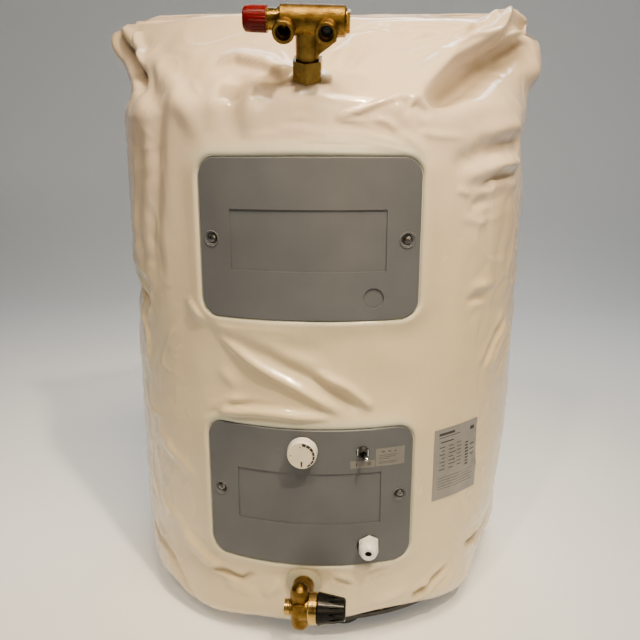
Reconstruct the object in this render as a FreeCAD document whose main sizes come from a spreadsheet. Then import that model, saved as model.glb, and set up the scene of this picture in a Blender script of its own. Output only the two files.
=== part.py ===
import FreeCAD, Part
import math
import os
import re
from types import SimpleNamespace

import Sketcher

# Driving sizes, in millimetres and degrees. X is right, Y is back, Z is up from the floor.
# The origin is on the tank's axis at floor level, and the covers face -Y.
SIZES = {
    # soft jacket: a cylinder below, drawn together above into a flat seam between two ears
    "jacket_radius": 290.0,
    "jacket_bottom": 22.0,
    "jacket_tuck_radius": 40.0,
    "jacket_tuck_steps": 4.0,
    "jacket_bottom_lip": 49.0,
    "shoulder_height": 694.0,
    "ear_rise": 102.0,
    "crown_rise": 16.0,
    "seam_rise": 17.0,
    "ear_reach": 313.0,
    "seam_reach": 284.0,
    "seam_half_depth": 9.0,
    "crown_half_depth": 136.0,
    "film_thickness": 1.0,
    "fill_gap": 0.3,
    "cut_reach": 60.0,
    # pressure tank
    "foam_thickness": 50.0,
    "tank_wall": 2.0,
    "tank_lower_edge": 110.0,
    "tank_shoulder_drop": 94.0,
    "tank_bottom_dish": 65.0,
    "tank_top_dish": 93.0,
    "weld_gap": 0.1,
    # legs, plate and feet under the tank
    "leg_inset": 18.0,
    "leg_first_angle": -79.0,
    "leg_radius": 15.0,
    "leg_wall": 2.0,
    "plate_overhang": 15.0,
    "plate_thickness": 6.0,
    "plate_opening": 38.0,
    "plate_rib_height": 3.0,
    "plate_sunk_inset": 42.0,
    "plate_rim_inset": 36.0,
    "leg_seat_radius": 18.0,
    "foot_radius": 25.0,
    "foot_chamfer": 4.0,
    # access pockets and their covers
    "upper_cover_height": 542.0,
    "lower_cover_height": 221.5,
    "cover_half_width": 129.0,
    "cover_half_height": 92.5,
    "cover_corner": 22.0,
    "cover_thickness": 3.0,
    "cover_bevel": 1.2,
    "frame_flange": 2.0,
    "frame_margin": 4.5,
    "frame_inset": 1.5,
    "frame_wall": 2.0,
    "frame_seat_gap": 0.2,
    "frame_tank_gap": 1.0,
    "panel_half_width": 90.0,
    "panel_half_height": 35.0,
    "panel_depth": 1.5,
    "screw_spread": 114.0,
    "well_radius": 8.0,
    "well_floor_radius": 6.2,
    "well_wall": 2.0,
    "well_mouth_radius": 12.0,
    "well_depth": 22.0,
    "pad_thickness": 2.5,
    "screw_head_radius": 4.75,
    "screw_head_height": 2.6,
    "screw_radius": 2.0,
    "screw_length": 16.0,
    "screw_hole_gap": 0.25,
    "boss_radius": 5.0,
    "boss_length": 18.0,
    "boss_arm_drop": 6.0,
    "knockout_x": 76.0,
    "knockout_drop": 66.0,
    "knockout_radius": 12.0,
    "knockout_depth": 1.8,
    "knockout_rim": 2.0,
    "panel_rim": 2.0,
    "panel_backing": 1.0,
    # thermostat behind the lower cover
    "knob_x": -6.0,
    "knob_height": 288.0,
    "knob_radius": 18.5,
    "knob_front_radius": 17.6,
    "knob_depth": 13.0,
    "knob_face_radius": 15.4,
    "knob_face_step": 0.6,
    "knob_rim": 1.2,
    "knob_gap": 2.0,
    "spindle_radius": 3.0,
    "spindle_bite": 8.5,
    "spindle_hole_gap": 1.0,
    "running_gap": 0.05,
    "thermostat_half_width": 18.5,
    "thermostat_depth": 21.0,
    "thermostat_corner": 3.0,
    "thermostat_bore_depth": 7.0,
    "axial_gap": 0.3,
    "contact_gap": 0.05,
    # toggle switch
    "switch_x": 67.0,
    "switch_height": 284.0,
    "switch_floor": 285.2,
    "switch_recess_radius": 8.7,
    "switch_bush_radius": 5.9,
    "switch_bush_length": 10.0,
    "switch_bush_wall": 1.0,
    "switch_nut_across": 14.0,
    "switch_nut_thickness": 2.4,
    "switch_body_half_width": 6.5,
    "switch_body_half_height": 8.0,
    "switch_body_depth": 20.0,
    "lever_pivot_depth": 4.0,
    "lever_length": 20.0,
    "lever_ball_radius": 2.6,
    "lever_root_radius": 1.5,
    "lever_tip_radius": 2.4,
    "lever_lean": 13.0,
    # cable gland
    "gland_drop": 66.0,
    "gland_x": 76.0,
    "gland_floor": 281.0,
    "gland_recess_radius": 15.0,
    "recess_wall": 1.8,
    "gland_across": 24.0,
    "gland_flange": 6.0,
    "gland_wall": 2.0,
    "gland_seat_depth": 2.0,
    "gland_tower_length": 15.0,
    "gland_thread_radius": 10.0,
    "gland_thread_length": 13.0,
    "gland_nut_length": 19.5,
    "gland_nut_radius": 12.4,
    "gland_dome_start": 10.5,
    "gland_dome_middle": 15.6,
    "gland_shoulder_radius": 10.8,
    "gland_crown_radius": 7.8,
    "gland_grip_radius": 1.0,
    "gland_grip_count": 12.0,
    "gland_mouth_radius": 4.6,
    "gland_mouth_length": 4.0,
    "gland_seal_bore": 4.0,
    "gland_seal_radius": 8.0,
    "gland_seal_length": 9.0,
    "gland_bore": 6.5,
    "gland_locknut_across": 26.0,
    "gland_locknut_thickness": 5.0,
    # element flange in the lower pocket
    "flange_height": 205.0,
    "flange_radius": 62.0,
    "flange_thickness": 8.0,
    "flange_rise": 12.0,
    "flange_neck_bore": 48.0,
    "gasket_thickness": 3.0,
    "bolt_circle": 55.0,
    "bolt_count": 6.0,
    "bolt_radius": 3.0,
    "bolt_length": 18.0,
    "bolt_head_across": 10.0,
    "bolt_head_height": 4.0,
    "bolt_hole_gap": 0.3,
    "element_tube_radius": 4.25,
    "element_bend_radius": 14.0,
    "element_first_x": 12.0,
    "element_spacing": 24.0,
    "element_length": 290.0,
    "element_tail": 10.0,
    "pocket_x": -34.0,
    "pocket_lift": 12.0,
    "pocket_radius": 5.0,
    "pocket_bore": 3.5,
    "pocket_length": 150.0,
    "pocket_across": 13.0,
    "pocket_head": 4.0,
    "terminal_x": -97.0,
    "terminal_height": 170.0,
    "terminal_half_width": 17.0,
    "terminal_half_height": 26.0,
    "terminal_depth": 20.0,
    "terminal_slot_width": 28.0,
    "terminal_slot_depth": 4.5,
    "terminal_slot_height": 11.0,
    "terminal_pitch": 15.5,
    "cutout_half_width": 13.0,
    "cutout_half_height": 20.0,
    "cutout_depth": 14.0,
    "cutout_button_radius": 4.3,
    "cutout_button_height": 4.0,
    # hot outlet stub and mixing valve, in the valve's own frame: Z along the stem, ports to -Y
    "outlet_reach": 273.0,
    "outlet_rise": 23.0,
    "outlet_lean": 28.0,
    "outlet_tilt": 2.3,
    "stub_radius": 10.5,
    "stub_bore": 8.5,
    "stub_inner_length": 124.0,
    "stub_head_radius": 13.0,
    "stub_head_length": 12.0,
    "stub_head_drop": 2.0,
    "dip_radius": 6.0,
    "dip_bore": 5.0,
    "dip_length": 700.0,
    "dip_collar_length": 3.0,
    "dip_collar_drop": 9.0,
    "union_gasket_thickness": 2.0,
    "union_across": 30.0,
    "union_flange_radius": 12.7,
    "union_length": 22.0,
    "union_neck_radius": 9.6,
    "union_thread_gap": 0.15,
    "stem_flange_thickness": 3.0,
    "stem_gap": 0.5,
    "stem_radius": 12.5,
    "stem_bore": 6.5,
    "barrel_lift": 61.0,
    "barrel_radius": 15.6,
    "barrel_bevel": 1.5,
    "barrel_left": 28.0,
    "barrel_right": 40.5,
    "barrel_bore": 12.0,
    "port_spread": 21.7,
    "port_drop": 4.4,
    "port_reach": 27.0,
    "port_radius": 11.6,
    "port_bore": 8.1,
    "port_depth": 10.0,
    "port_inner_bore": 6.6,
    "port_lip": 1.0,
    "web_thickness": 15.0,
    "web_foot": 28.0,
    "web_outer_x": 31.0,
    "web_outer_lift": 43.0,
    "headwork_neck_radius": 10.9,
    "headwork_neck_length": 11.6,
    "headwork_spigot_length": 7.0,
    "headwork_collar_radius": 12.6,
    "headwork_collar_length": 2.0,
    "plug_across": 20.5,
    "plug_head_length": 4.0,
    "plug_spigot_length": 7.0,
    "plug_washer_radius": 12.6,
    "plug_washer_length": 1.0,
    "spigot_gap": 0.05,
    "mixing_spindle_radius": 4.0,
    "spindle_proud": 1.0,
    "spindle_reach": 14.3,
    "drum_radius": 11.1,
    "drum_length": 2.6,
    "drum_notch_radius": 0.9,
    "drum_notch_depth": 0.55,
    "drum_notch_count": 24.0,
    "cap_radius": 13.4,
    "cap_crown_radius": 12.7,
    "cap_length": 24.3,
    "cap_taper_length": 9.6,
    "cap_setback": 1.6,
    "cap_bore": 11.4,
    "cap_roof": 4.0,
    "cap_groove_radius": 0.9,
    "cap_groove_depth": 0.4,
    "cap_groove_count": 24.0,
    "cap_round": 2.0,
    "piston_length": 12.5,
    "piston_travel": 1.0,
    "piston_web": 3.0,
    "piston_bore": 9.6,
    "piston_way_radius": 2.0,
    "piston_way_count": 6.0,
    "wax_radius": 5.0,
    "wax_length": 27.0,
    "wax_lead": 3.0,
    "wax_collar_radius": 6.2,
    "wax_collar_length": 2.0,
    "mixing_spring_radius": 7.4,
    "spring_wire_radius": 0.9,
    "spring_turn_count": 4.0,
    "spring_step_count": 12.0,
    "spring_side_count": 6.0,
    "cage_length": 6.2,
    "cage_bore": 5.2,
    "cage_seat_bore": 3.4,
    "cage_seat_length": 1.5,
    "cage_lip_length": 0.8,
    "poppet_radius": 4.6,
    "poppet_head": 1.5,
    "poppet_stem_radius": 1.2,
    "poppet_stem_length": 1.4,
    # drain stub and safety valve, centred where the bonnet's axis crosses the barrel
    "safety_x": -6.0,
    "safety_height": 101.0,
    "safety_reach": 50.0,
    "collar_radius": 22.7,
    "collar_crown_radius": 14.7,
    "collar_edge": 2.0,
    "collar_thickness": 6.0,
    "drain_inner_length": 6.0,
    "safety_barrel_radius": 11.6,
    "safety_barrel_up": 22.0,
    "safety_barrel_down": 24.7,
    "safety_barrel_taper": 2.0,
    "outlet_mouth_radius": 6.5,
    "outlet_mouth_depth": 9.0,
    "drain_passage_radius": 3.5,
    "drain_passage_x": 6.2,
    "inlet_passage_radius": 4.0,
    "inlet_passage_x": -3.2,
    "spigot_radius": 13.5,
    "spigot_end_gap": 1.0,
    "spigot_socket_depth": 16.0,
    "socket_gap": 0.1,
    "bonnet_socket_radius": 15.0,
    "bonnet_socket_end": 10.5,
    "bonnet_chamber_radius": 11.0,
    "seat_x": 2.0,
    "seat_bore": 4.5,
    "left_boss_radius": 8.6,
    "left_boss_end": 12.6,
    "side_plug_radius": 9.8,
    "side_plug_length": 6.0,
    "side_plug_spigot": 6.0,
    "side_plug_spigot_length": 5.6,
    "side_plug_groove": 1.1,
    "front_boss_width": 14.0,
    "front_boss_height": 17.0,
    "front_boss_reach": 13.6,
    "front_boss_lift": 5.0,
    "front_boss_corner": 3.0,
    "front_rib_count": 4.0,
    "front_rib_reach": 0.9,
    "front_rib_pitch": 3.0,
    "front_rib_width": 1.4,
    "front_rib_height": 12.0,
    "bonnet_radius": 18.9,
    "bonnet_length": 11.0,
    "bonnet_wall": 3.0,
    "bonnet_bore": 9.2,
    "bonnet_spigot_length": 5.0,
    "bonnet_nose_radius": 6.0,
    "bonnet_nose_length": 9.0,
    "bonnet_bead": 1.0,
    "disc_radius": 7.0,
    "disc_thickness": 2.6,
    "disc_spindle_radius": 2.4,
    "disc_spindle_proud": 3.0,
    "safety_spring_radius": 5.8,
    "safety_knob_radius": 19.4,
    "safety_knob_tip_radius": 12.8,
    "safety_knob_length": 34.0,
    "safety_knob_flute": 1.9,
    "flute_floor": 0.4,
    "safety_knob_edge": 1.0,
    "safety_knob_flute_count": 14.0,
    "safety_knob_socket": 17.0,
}
S = SimpleNamespace(**SIZES)

vector = FreeCAD.Vector
TO_RIGHT = FreeCAD.Rotation(vector(0, 1, 0), 90)
TO_LEFT = FreeCAD.Rotation(vector(0, 1, 0), -90)
TO_FRONT = FreeCAD.Rotation(vector(1, 0, 0), 90)
TO_BACK = FreeCAD.Rotation(vector(1, 0, 0), -90)
UP = FreeCAD.Rotation()
ORIGIN = ("0", "0", "0")

doc = FreeCAD.newDocument("storage_water_heater")
nodes = []


def make_sheet():
    """The spreadsheet that holds every driving size under its own name."""
    sheet = doc.addObject("Spreadsheet::Sheet", "Sizes")
    for row, (alias, number) in enumerate(SIZES.items(), start=1):
        sheet.set(f"A{row}", alias)
        sheet.set(f"B{row}", str(number))
        sheet.setAlias(f"B{row}", alias)
    doc.recompute()


# Sizes that follow from the driving sizes, as formulas
FITTED = {
    "jacket_bottom_opening": "jacket_radius - jacket_bottom_lip",
    "tank_radius": "jacket_radius - foam_thickness",
    "tank_upper_edge": "shoulder_height - tank_shoulder_drop",
    "leg_circle": "tank_radius - leg_inset",
    "plate_radius": "tank_radius + plate_overhang",
    "plate_sunk_radius": "tank_radius - plate_sunk_inset",
    "plate_rim_radius": "tank_radius - plate_rim_inset",
    "well_floor": "jacket_radius - well_depth",
    "flange_face": "tank_radius + flange_rise",
}


def cell(match):
    """A name in a formula as its cell, or as the formula that it stands for."""
    name = match[0]
    if name in FITTED:
        return f"({formula(FITTED[name])})"
    return f"Sizes.{name}" if name in SIZES else name


def formula(text):
    """The text with each size's name written as its cell."""
    return re.sub(r"[a-z][a-z0-9_]*", cell, text)


def bind(obj, **sizes):
    for prop, text in sizes.items():
        obj.setExpression(prop, formula(text))


def seat(obj, at=ORIGIN, turn=UP):
    """Sets a piece at a place given by three formulas, turned by a fixed rotation."""
    obj.Placement = FreeCAD.Placement(vector(), turn)
    for axis, text in zip("xyz", at):
        if text != "0":
            obj.setExpression(f"Placement.Base.{axis}", formula(text))
    return obj


def node(obj, label):
    """Names a finished sub-part, which goes to a file of that name."""
    obj.Label = label
    nodes.append(obj)
    return obj


def cylinder(radius, height, at=ORIGIN, turn=UP):
    obj = doc.addObject("Part::Cylinder", "Round")
    bind(obj, Radius=radius, Height=height)
    return seat(obj, at, turn)


def cone(radius1, radius2, height, at=ORIGIN, turn=UP):
    obj = doc.addObject("Part::Cone", "Taper")
    bind(obj, Radius1=radius1, Radius2=radius2, Height=height)
    return seat(obj, at, turn)


def sphere(radius, at=ORIGIN):
    obj = doc.addObject("Part::Sphere", "Ball")
    bind(obj, Radius=radius)
    return seat(obj, at)


def box(width, depth, height, at):
    """A box centred on X and Z, from at's Y backwards."""
    obj = doc.addObject("Part::Box", "Block")
    bind(obj, Length=width, Width=depth, Height=height)
    corner = (f"{at[0]} - ({width}) / 2", at[1], f"{at[2]} - ({height}) / 2")
    return seat(obj, corner)


def prism(across_flats, height, at=ORIGIN, turn=UP):
    """A hexagonal bar, with a corner towards its own Y."""
    obj = doc.addObject("Part::Prism", "Hexagon")
    obj.Polygon = 6
    bind(obj, Circumradius=f"({across_flats}) / sqrt(3)", Height=height)
    return seat(obj, at, turn * FreeCAD.Rotation(vector(0, 0, 1), 30))


def fuse(*pieces):
    obj = doc.addObject("Part::MultiFuse", "Joined")
    obj.Shapes = list(pieces)
    return obj


def carried(piece):
    """A holder for one finished piece, which can be moved as a whole."""
    obj = doc.addObject("Part::Compound", "Carried")
    obj.Links = [piece]
    return obj


def cut(base, *tools):
    obj = doc.addObject("Part::Cut", "Cut")
    obj.Base = base
    obj.Tool = tools[0] if len(tools) == 1 else fuse(*tools)
    return obj


def common(one, other):
    obj = doc.addObject("Part::Common", "Overlap")
    obj.Base = one
    obj.Tool = other
    return obj


def tube(outer, inner, height, at=ORIGIN, turn=UP):
    return cut(cylinder(outer, height, at, turn), cylinder(inner, height, at, turn))


def shown(shape, name):
    """A plain feature round a shape that has been worked out directly."""
    obj = doc.addObject("Part::Feature", name)
    obj.Shape = shape
    return obj


def origin_part(body, role):
    return next(item for item in body.Origin.OriginFeatures if item.Role == role)


def sketch_on(body, role, name):
    sketch = body.newObject("Sketcher::SketchObject", name)
    sketch.AttachmentSupport = [(origin_part(body, role), "")]
    sketch.MapMode = "FlatFace"
    return sketch


def draw_outline(sketch, corners):
    """A closed straight-sided outline, with each corner held at its own two sizes."""
    count = len(corners)
    guess = [
        vector(50 + 10 * math.cos(math.tau * i / count), 50 + 10 * math.sin(math.tau * i / count), 0)
        for i in range(count)
    ]
    for i in range(count):
        sketch.addGeometry(Part.LineSegment(guess[i], guess[(i + 1) % count]), False)
    for i in range(count):
        sketch.addConstraint(Sketcher.Constraint("Coincident", i, 2, (i + 1) % count, 1))
    for i, corner in enumerate(corners):
        for kind, start, text in zip(("DistanceX", "DistanceY"), (guess[i].x, guess[i].y), corner):
            index = sketch.addConstraint(Sketcher.Constraint(kind, -1, 1, i, 1, start))
            sketch.setExpression(f"Constraints[{index}]", formula(text))


def turned(name, corners, at=ORIGIN, turn=UP):
    """A body turned about its own Z from an outline of radius and height."""
    body = doc.addObject("PartDesign::Body", name)
    profile = sketch_on(body, "XZ_Plane", f"{name}_profile")
    draw_outline(profile, corners)
    spin = body.newObject("PartDesign::Revolution", f"{name}_turned")
    spin.Profile = profile
    spin.ReferenceAxis = (profile, ["V_Axis"])
    spin.Angle = 360
    seat(body, at, turn)
    doc.recompute()
    return body


def draw_circle(sketch, radius, centre_x):
    """A circle whose centre lies on the sketch's own level axis."""
    sketch.addGeometry(Part.Circle(vector(50, 1, 0), vector(0, 0, 1), 1), False)
    size = sketch.addConstraint(Sketcher.Constraint("Radius", 0, 1))
    sketch.setExpression(f"Constraints[{size}]", formula(radius))
    along = sketch.addConstraint(Sketcher.Constraint("DistanceX", -1, 1, 0, 3, 50))
    sketch.setExpression(f"Constraints[{along}]", formula(centre_x))
    sketch.addConstraint(Sketcher.Constraint("PointOnObject", 0, 3, -1))


def ring_of_pockets(body, name, radius, centre, count):
    """Round grooves or holes cut along the body's Z and repeated about it."""
    before = body.Shape.Volume
    sketch = sketch_on(body, "XY_Plane", f"{name}_outline")
    draw_circle(sketch, radius, centre)
    pocket = body.newObject("PartDesign::Pocket", name)
    pocket.Profile = sketch
    pocket.Midplane = True
    bind(pocket, Length="2 * cut_reach")
    doc.recompute()
    pattern = body.newObject("PartDesign::PolarPattern", f"{name}_repeated")
    pattern.Originals = [pocket]
    pattern.Axis = (origin_part(body, "Z_Axis"), [""])
    pattern.Angle = 360
    bind(pattern, Occurrences=count)
    body.Tip = pattern
    doc.recompute()
    if body.Shape.Volume >= before:
        raise RuntimeError(f"{name} cut nothing")
    return body


def padded(name, role, corners, thickness, at=ORIGIN):
    """A flat outline given a thickness both ways from its plane."""
    body = doc.addObject("PartDesign::Body", name)
    outline = sketch_on(body, role, f"{name}_outline")
    draw_outline(outline, corners)
    pad = body.newObject("PartDesign::Pad", f"{name}_pad")
    pad.Profile = outline
    pad.Midplane = True
    bind(pad, Length=thickness)
    seat(body, at)
    doc.recompute()
    return body


def rounded(obj, radius, wanted):
    """Rounds those edges of an object that the test picks out."""
    doc.recompute()
    chosen = [i for i, edge in enumerate(obj.Shape.Edges, start=1) if wanted(edge)]
    result = doc.addObject("Part::Fillet", "Rounded")
    result.Base = obj
    result.Edges = [(i, radius, radius) for i in chosen]
    doc.recompute()
    return result


def bevelled(obj, width, wanted):
    """Takes the corner off those edges of an object that the test picks out."""
    doc.recompute()
    chosen = [i for i, edge in enumerate(obj.Shape.Edges, start=1) if wanted(edge)]
    result = doc.addObject("Part::Chamfer", "Bevelled")
    result.Base = obj
    result.Edges = [(i, width, width) for i in chosen]
    doc.recompute()
    return result


def is_round(edge):
    return edge.Curve.TypeId == "Part::GeomCircle"


def runs_along(edge, direction):
    if edge.Curve.TypeId != "Part::GeomLine":
        return False
    return abs(abs(edge.tangentAt(edge.FirstParameter).dot(direction)) - 1) < 1e-6


def window(half_width, half_height, corner, centre):
    """A block with rounded corners from in front of the covers back into the tank."""
    front = "(jacket_radius + cut_reach)"
    block = box(f"2 * ({half_width})", f"{front} - tank_radius / 2", f"2 * ({half_height})",
                ("0", f"-{front}", centre))
    return rounded(block, corner, lambda edge: runs_along(edge, vector(0, 1, 0)))


def shell_band(inner, outer, centre):
    """A cylindrical wall about the tank's axis, a little higher than a cover and its frame."""
    half = "(cover_half_height + 2 * frame_margin)"
    return tube(outer, inner, f"2 * {half}", ("0", "0", f"{centre} - {half}"))


def in_valve_frame(obj):
    """Moves a piece from the mixing valve's own frame to its place on the shoulder."""
    lean = FreeCAD.Rotation(vector(1, 0, 0), S.outlet_lean)
    tilt = FreeCAD.Rotation(vector(0, 1, 0), S.outlet_tilt)
    foot = vector(0, -S.outlet_reach, S.shoulder_height + S.outlet_rise)
    obj.Placement = FreeCAD.Placement(foot, tilt * lean)
    return obj


def at_safety_valve(obj):
    """Moves a piece from the safety valve's own frame to its place below the lower cover."""
    return seat(obj, ("safety_x", "-(jacket_radius + safety_reach)", "safety_height"), UP)


# Soft jacket and the foam under it


def lens(height, left, right, depth):
    """A level closed outline with a point at each ear and a flat tangent at front and back."""
    def corner(reach, side):
        radius = (reach * reach + depth * depth) / (2 * depth)
        half = math.atan2(reach, radius - depth) / 2
        mid_x = radius * math.sin(half)
        mid_y = radius * math.cos(half) - (radius - depth)
        tip = vector(side * reach, 0, height)
        front = Part.Arc(tip, vector(side * mid_x, -mid_y, height), vector(0, -depth, height))
        back = Part.Arc(tip, vector(side * mid_x, mid_y, height), vector(0, depth, height))
        return front.toShape(), back.toShape()
    left_front, left_back = corner(left, -1)
    right_front, right_back = corner(right, 1)
    return Part.Wire(Part.__sortEdges__([left_front, right_front, right_back, left_back]))


def pillow(inset):
    """The closed form of the jacket, drawn in by a distance on every side."""
    radius = S.jacket_radius - inset
    bottom = S.jacket_bottom + inset
    tuck = S.jacket_tuck_radius - inset
    trunk = Part.makeCylinder(radius, S.shoulder_height - bottom - tuck, vector(0, 0, bottom + tuck))
    steps = int(S.jacket_tuck_steps)
    for i in range(steps):
        lower = math.radians(90 * (i + 1) / steps)
        upper = math.radians(90 * i / steps)
        foot = bottom + tuck - tuck * math.sin(lower)
        height = tuck * (math.sin(lower) - math.sin(upper))
        trunk = trunk.fuse(Part.makeCone(radius - tuck + tuck * math.cos(lower),
                                         radius - tuck + tuck * math.cos(upper), height, vector(0, 0, foot)))
    slope = (S.jacket_radius - S.crown_half_depth) / (S.ear_rise + S.crown_rise)
    crown = S.shoulder_height + S.ear_rise + S.crown_rise
    levels = [(S.shoulder_height, S.jacket_radius, S.jacket_radius)]
    for share, reach_share in ((0.4, 0.12), (0.72, 0.62)):
        reach = S.jacket_radius + reach_share * (S.ear_reach - S.jacket_radius)
        levels.append((S.shoulder_height + share * S.ear_rise, reach,
                       S.jacket_radius - slope * share * S.ear_rise))
    levels.append((S.shoulder_height + S.ear_rise, S.ear_reach, S.jacket_radius - slope * S.ear_rise))
    levels.append((crown, (S.ear_reach + S.seam_reach) / 2, S.crown_half_depth))
    mid_depth = (S.crown_half_depth + S.seam_half_depth) / 2
    levels.append((crown + S.seam_rise / 2, (S.ear_reach + 3 * S.seam_reach) / 4, mid_depth))
    levels.append((crown + S.seam_rise - inset, S.seam_reach, S.seam_half_depth))
    wires = [lens(z, reach - inset, reach - inset, depth - inset) for z, reach, depth in levels]
    top = Part.makeLoft(wires, True, True)
    return trunk.fuse(top).removeSplitter()


def tank_form(grow):
    """The tank's closed outer form, a round wall with a shallow spherical end above and below."""
    wall = cylinder(f"tank_radius + ({grow})",
                    f"tank_upper_edge + tank_top_dish - (tank_lower_edge - tank_bottom_dish) + 2 * ({grow})",
                    ("0", "0", f"tank_lower_edge - tank_bottom_dish - ({grow})"))
    top_radius = "((tank_radius ^ 2 + tank_top_dish ^ 2) / (2 * tank_top_dish))"
    bottom_radius = "((tank_radius ^ 2 + tank_bottom_dish ^ 2) / (2 * tank_bottom_dish))"
    top = sphere(f"{top_radius} + ({grow})", ("0", "0", f"tank_upper_edge + tank_top_dish - {top_radius}"))
    bottom = sphere(f"{bottom_radius} + ({grow})",
                    ("0", "0", f"tank_lower_edge - tank_bottom_dish + {bottom_radius}"))
    return common(common(wall, top), bottom)


def leg_places():
    """Places of the three legs, as formulas for X and Y."""
    for i in range(3):
        angle = f"(leg_first_angle + {120 * i})"
        yield f"leg_circle * cos({angle})", f"leg_circle * sin({angle})"


def stub_hole(gap):
    """Room for the hot outlet stub, from inside the tank out through the shoulder."""
    return in_valve_frame(carried(cylinder(f"stub_radius + {gap}", "stub_inner_length + cut_reach",
                                           ("0", "0", "-(stub_inner_length + fill_gap)"))))


def drain_hole(gap):
    """Room for the drain stub through tank wall, foam and jacket."""
    inside = "(tank_radius - 2 * drain_inner_length)"
    return cylinder(f"stub_radius + {gap}", f"jacket_radius + cut_reach - {inside}",
                    ("safety_x", f"-{inside}", "safety_height"), TO_FRONT)


def soft_openings():
    """What is cut through jacket and foam alike: two pockets and the holes of both stubs."""
    pockets = [window("cover_half_width - frame_inset + fill_gap",
                      "cover_half_height - frame_inset + fill_gap", S.cover_corner, height)
               for height in ("upper_cover_height", "lower_cover_height")]
    return [*pockets, stub_hole("fill_gap"), drain_hole("fill_gap")]


def make_soft_body():
    outer = shown(pillow(0), "jacket_outside")
    inner = shown(pillow(S.film_thickness), "jacket_inside")
    opening = cylinder("jacket_bottom_opening", "jacket_tuck_radius", ("0", "0", "jacket_bottom - fill_gap"))
    node(cut(outer, inner, opening, *soft_openings()), "jacket")
    filling = shown(pillow(S.film_thickness + S.fill_gap), "filling")
    legs = [cylinder("leg_radius + fill_gap", "tank_lower_edge", (x, y, "0")) for x, y in leg_places()]
    node(cut(filling, tank_form("fill_gap"), *legs, *soft_openings()), "foam_insulation")


# Tank, legs, base plate and feet


def flange_bore(radius):
    return cylinder(radius, "flange_face", ("0", "-(tank_radius / 2)", "flange_height"), TO_FRONT)


def make_tank():
    neck = cylinder("flange_radius", "flange_face - tank_radius / 2",
                    ("0", "-(tank_radius / 2)", "flange_height"), TO_FRONT)
    blind_holes = flange_bolt_rods("bolt_radius + bolt_hole_gap", "bolt_length + axial_gap")
    node(cut(fuse(tank_form("0"), neck), tank_form("-tank_wall"), flange_bore("flange_neck_bore"),
             blind_holes, stub_hole("weld_gap"), drain_hole("weld_gap")), "inner_tank")


def make_base():
    legs = [tube("leg_radius", "leg_radius - leg_wall", "tank_lower_edge", (x, y, "jacket_bottom"))
            for x, y in leg_places()]
    node(cut(fuse(*legs), tank_form("weld_gap")), "tank_legs")
    top = "jacket_bottom"
    sunk = "(jacket_bottom - plate_rib_height)"
    bottom = "(jacket_bottom - plate_thickness)"
    plate = turned("base_plate_body", [
        ("plate_opening", sunk),
        ("plate_sunk_radius", sunk),
        ("plate_rim_radius", top),
        ("plate_radius", top),
        ("plate_radius", bottom),
        ("plate_opening", bottom),
    ])
    seats = [cylinder("leg_seat_radius", "plate_rib_height", (x, y, sunk)) for x, y in leg_places()]
    node(fuse(plate, *seats), "base_plate")
    feet = []
    for x, y in leg_places():
        feet.append(cone("foot_radius - foot_chamfer", "foot_radius", "foot_chamfer", (x, y, "0")))
        feet.append(cylinder("foot_radius", f"{bottom} - foot_chamfer", (x, y, "foot_chamfer")))
    node(fuse(*feet), "feet")


# Covers and the frames they close

COVER_BACK = "(jacket_radius + frame_seat_gap + frame_flange + frame_seat_gap)"
COVER_FRONT = f"({COVER_BACK} + cover_thickness)"


def screw_places():
    """Each cover screw's side of the cover, and its place along X as a formula."""
    for side in (-1, 1):
        yield side, f"{side} * screw_spread"


def frame_bosses(centre):
    """The two screw bosses, each with the arm that joins it to the frame's wall, and their holes."""
    front = "-(well_floor - pad_thickness - frame_seat_gap)"
    reach = "(cover_half_width - frame_inset - screw_spread)"
    bosses = []
    holes = []
    for side, x in screw_places():
        bosses.append(cylinder("boss_radius", "boss_length", (x, front, centre), TO_BACK))
        bosses.append(box(reach, "boss_length - boss_arm_drop", "boss_radius",
                          (f"{x} + {side} * {reach} / 2", f"{front} + boss_arm_drop", centre)))
        holes.append(cylinder("screw_radius + screw_hole_gap", "boss_length + 2 * axial_gap",
                              (x, f"{front} - axial_gap", centre), TO_BACK))
    return bosses, holes


def make_frame(label, centre):
    """The pocket's frame: a flange on the jacket, walls back to the tank and two screw bosses."""
    flange_back = "(jacket_radius + frame_seat_gap)"
    flange_front = f"({flange_back} + frame_flange)"
    flange = common(shell_band(flange_back, flange_front, centre),
                    window("cover_half_width + frame_margin", "cover_half_height + frame_margin",
                           S.cover_corner + S.frame_margin, centre))
    walls = common(shell_band("tank_radius + frame_tank_gap", flange_front, centre),
                   window("cover_half_width - frame_inset", "cover_half_height - frame_inset",
                          S.cover_corner, centre))
    hollow = window("cover_half_width - frame_inset - frame_wall",
                    "cover_half_height - frame_inset - frame_wall", S.cover_corner - S.frame_wall, centre)
    bosses, holes = frame_bosses(centre)
    node(cut(fuse(cut(fuse(flange, walls), hollow), *bosses), *holes), label)


def cover_blank(centre):
    """A curved plate with round corners and bevelled front edges."""
    plate = common(shell_band(COVER_BACK, COVER_FRONT, centre),
                   window("cover_half_width", "cover_half_height", S.cover_corner, centre))
    front = S.jacket_radius + 2 * S.frame_seat_gap + S.frame_flange + S.cover_thickness

    def on_front(edge):
        radii = [math.hypot(v.X, v.Y) for v in edge.Vertexes]
        return len(radii) == 2 and all(abs(r - front) < 0.01 for r in radii)

    return bevelled(plate, S.cover_bevel, on_front)


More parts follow.
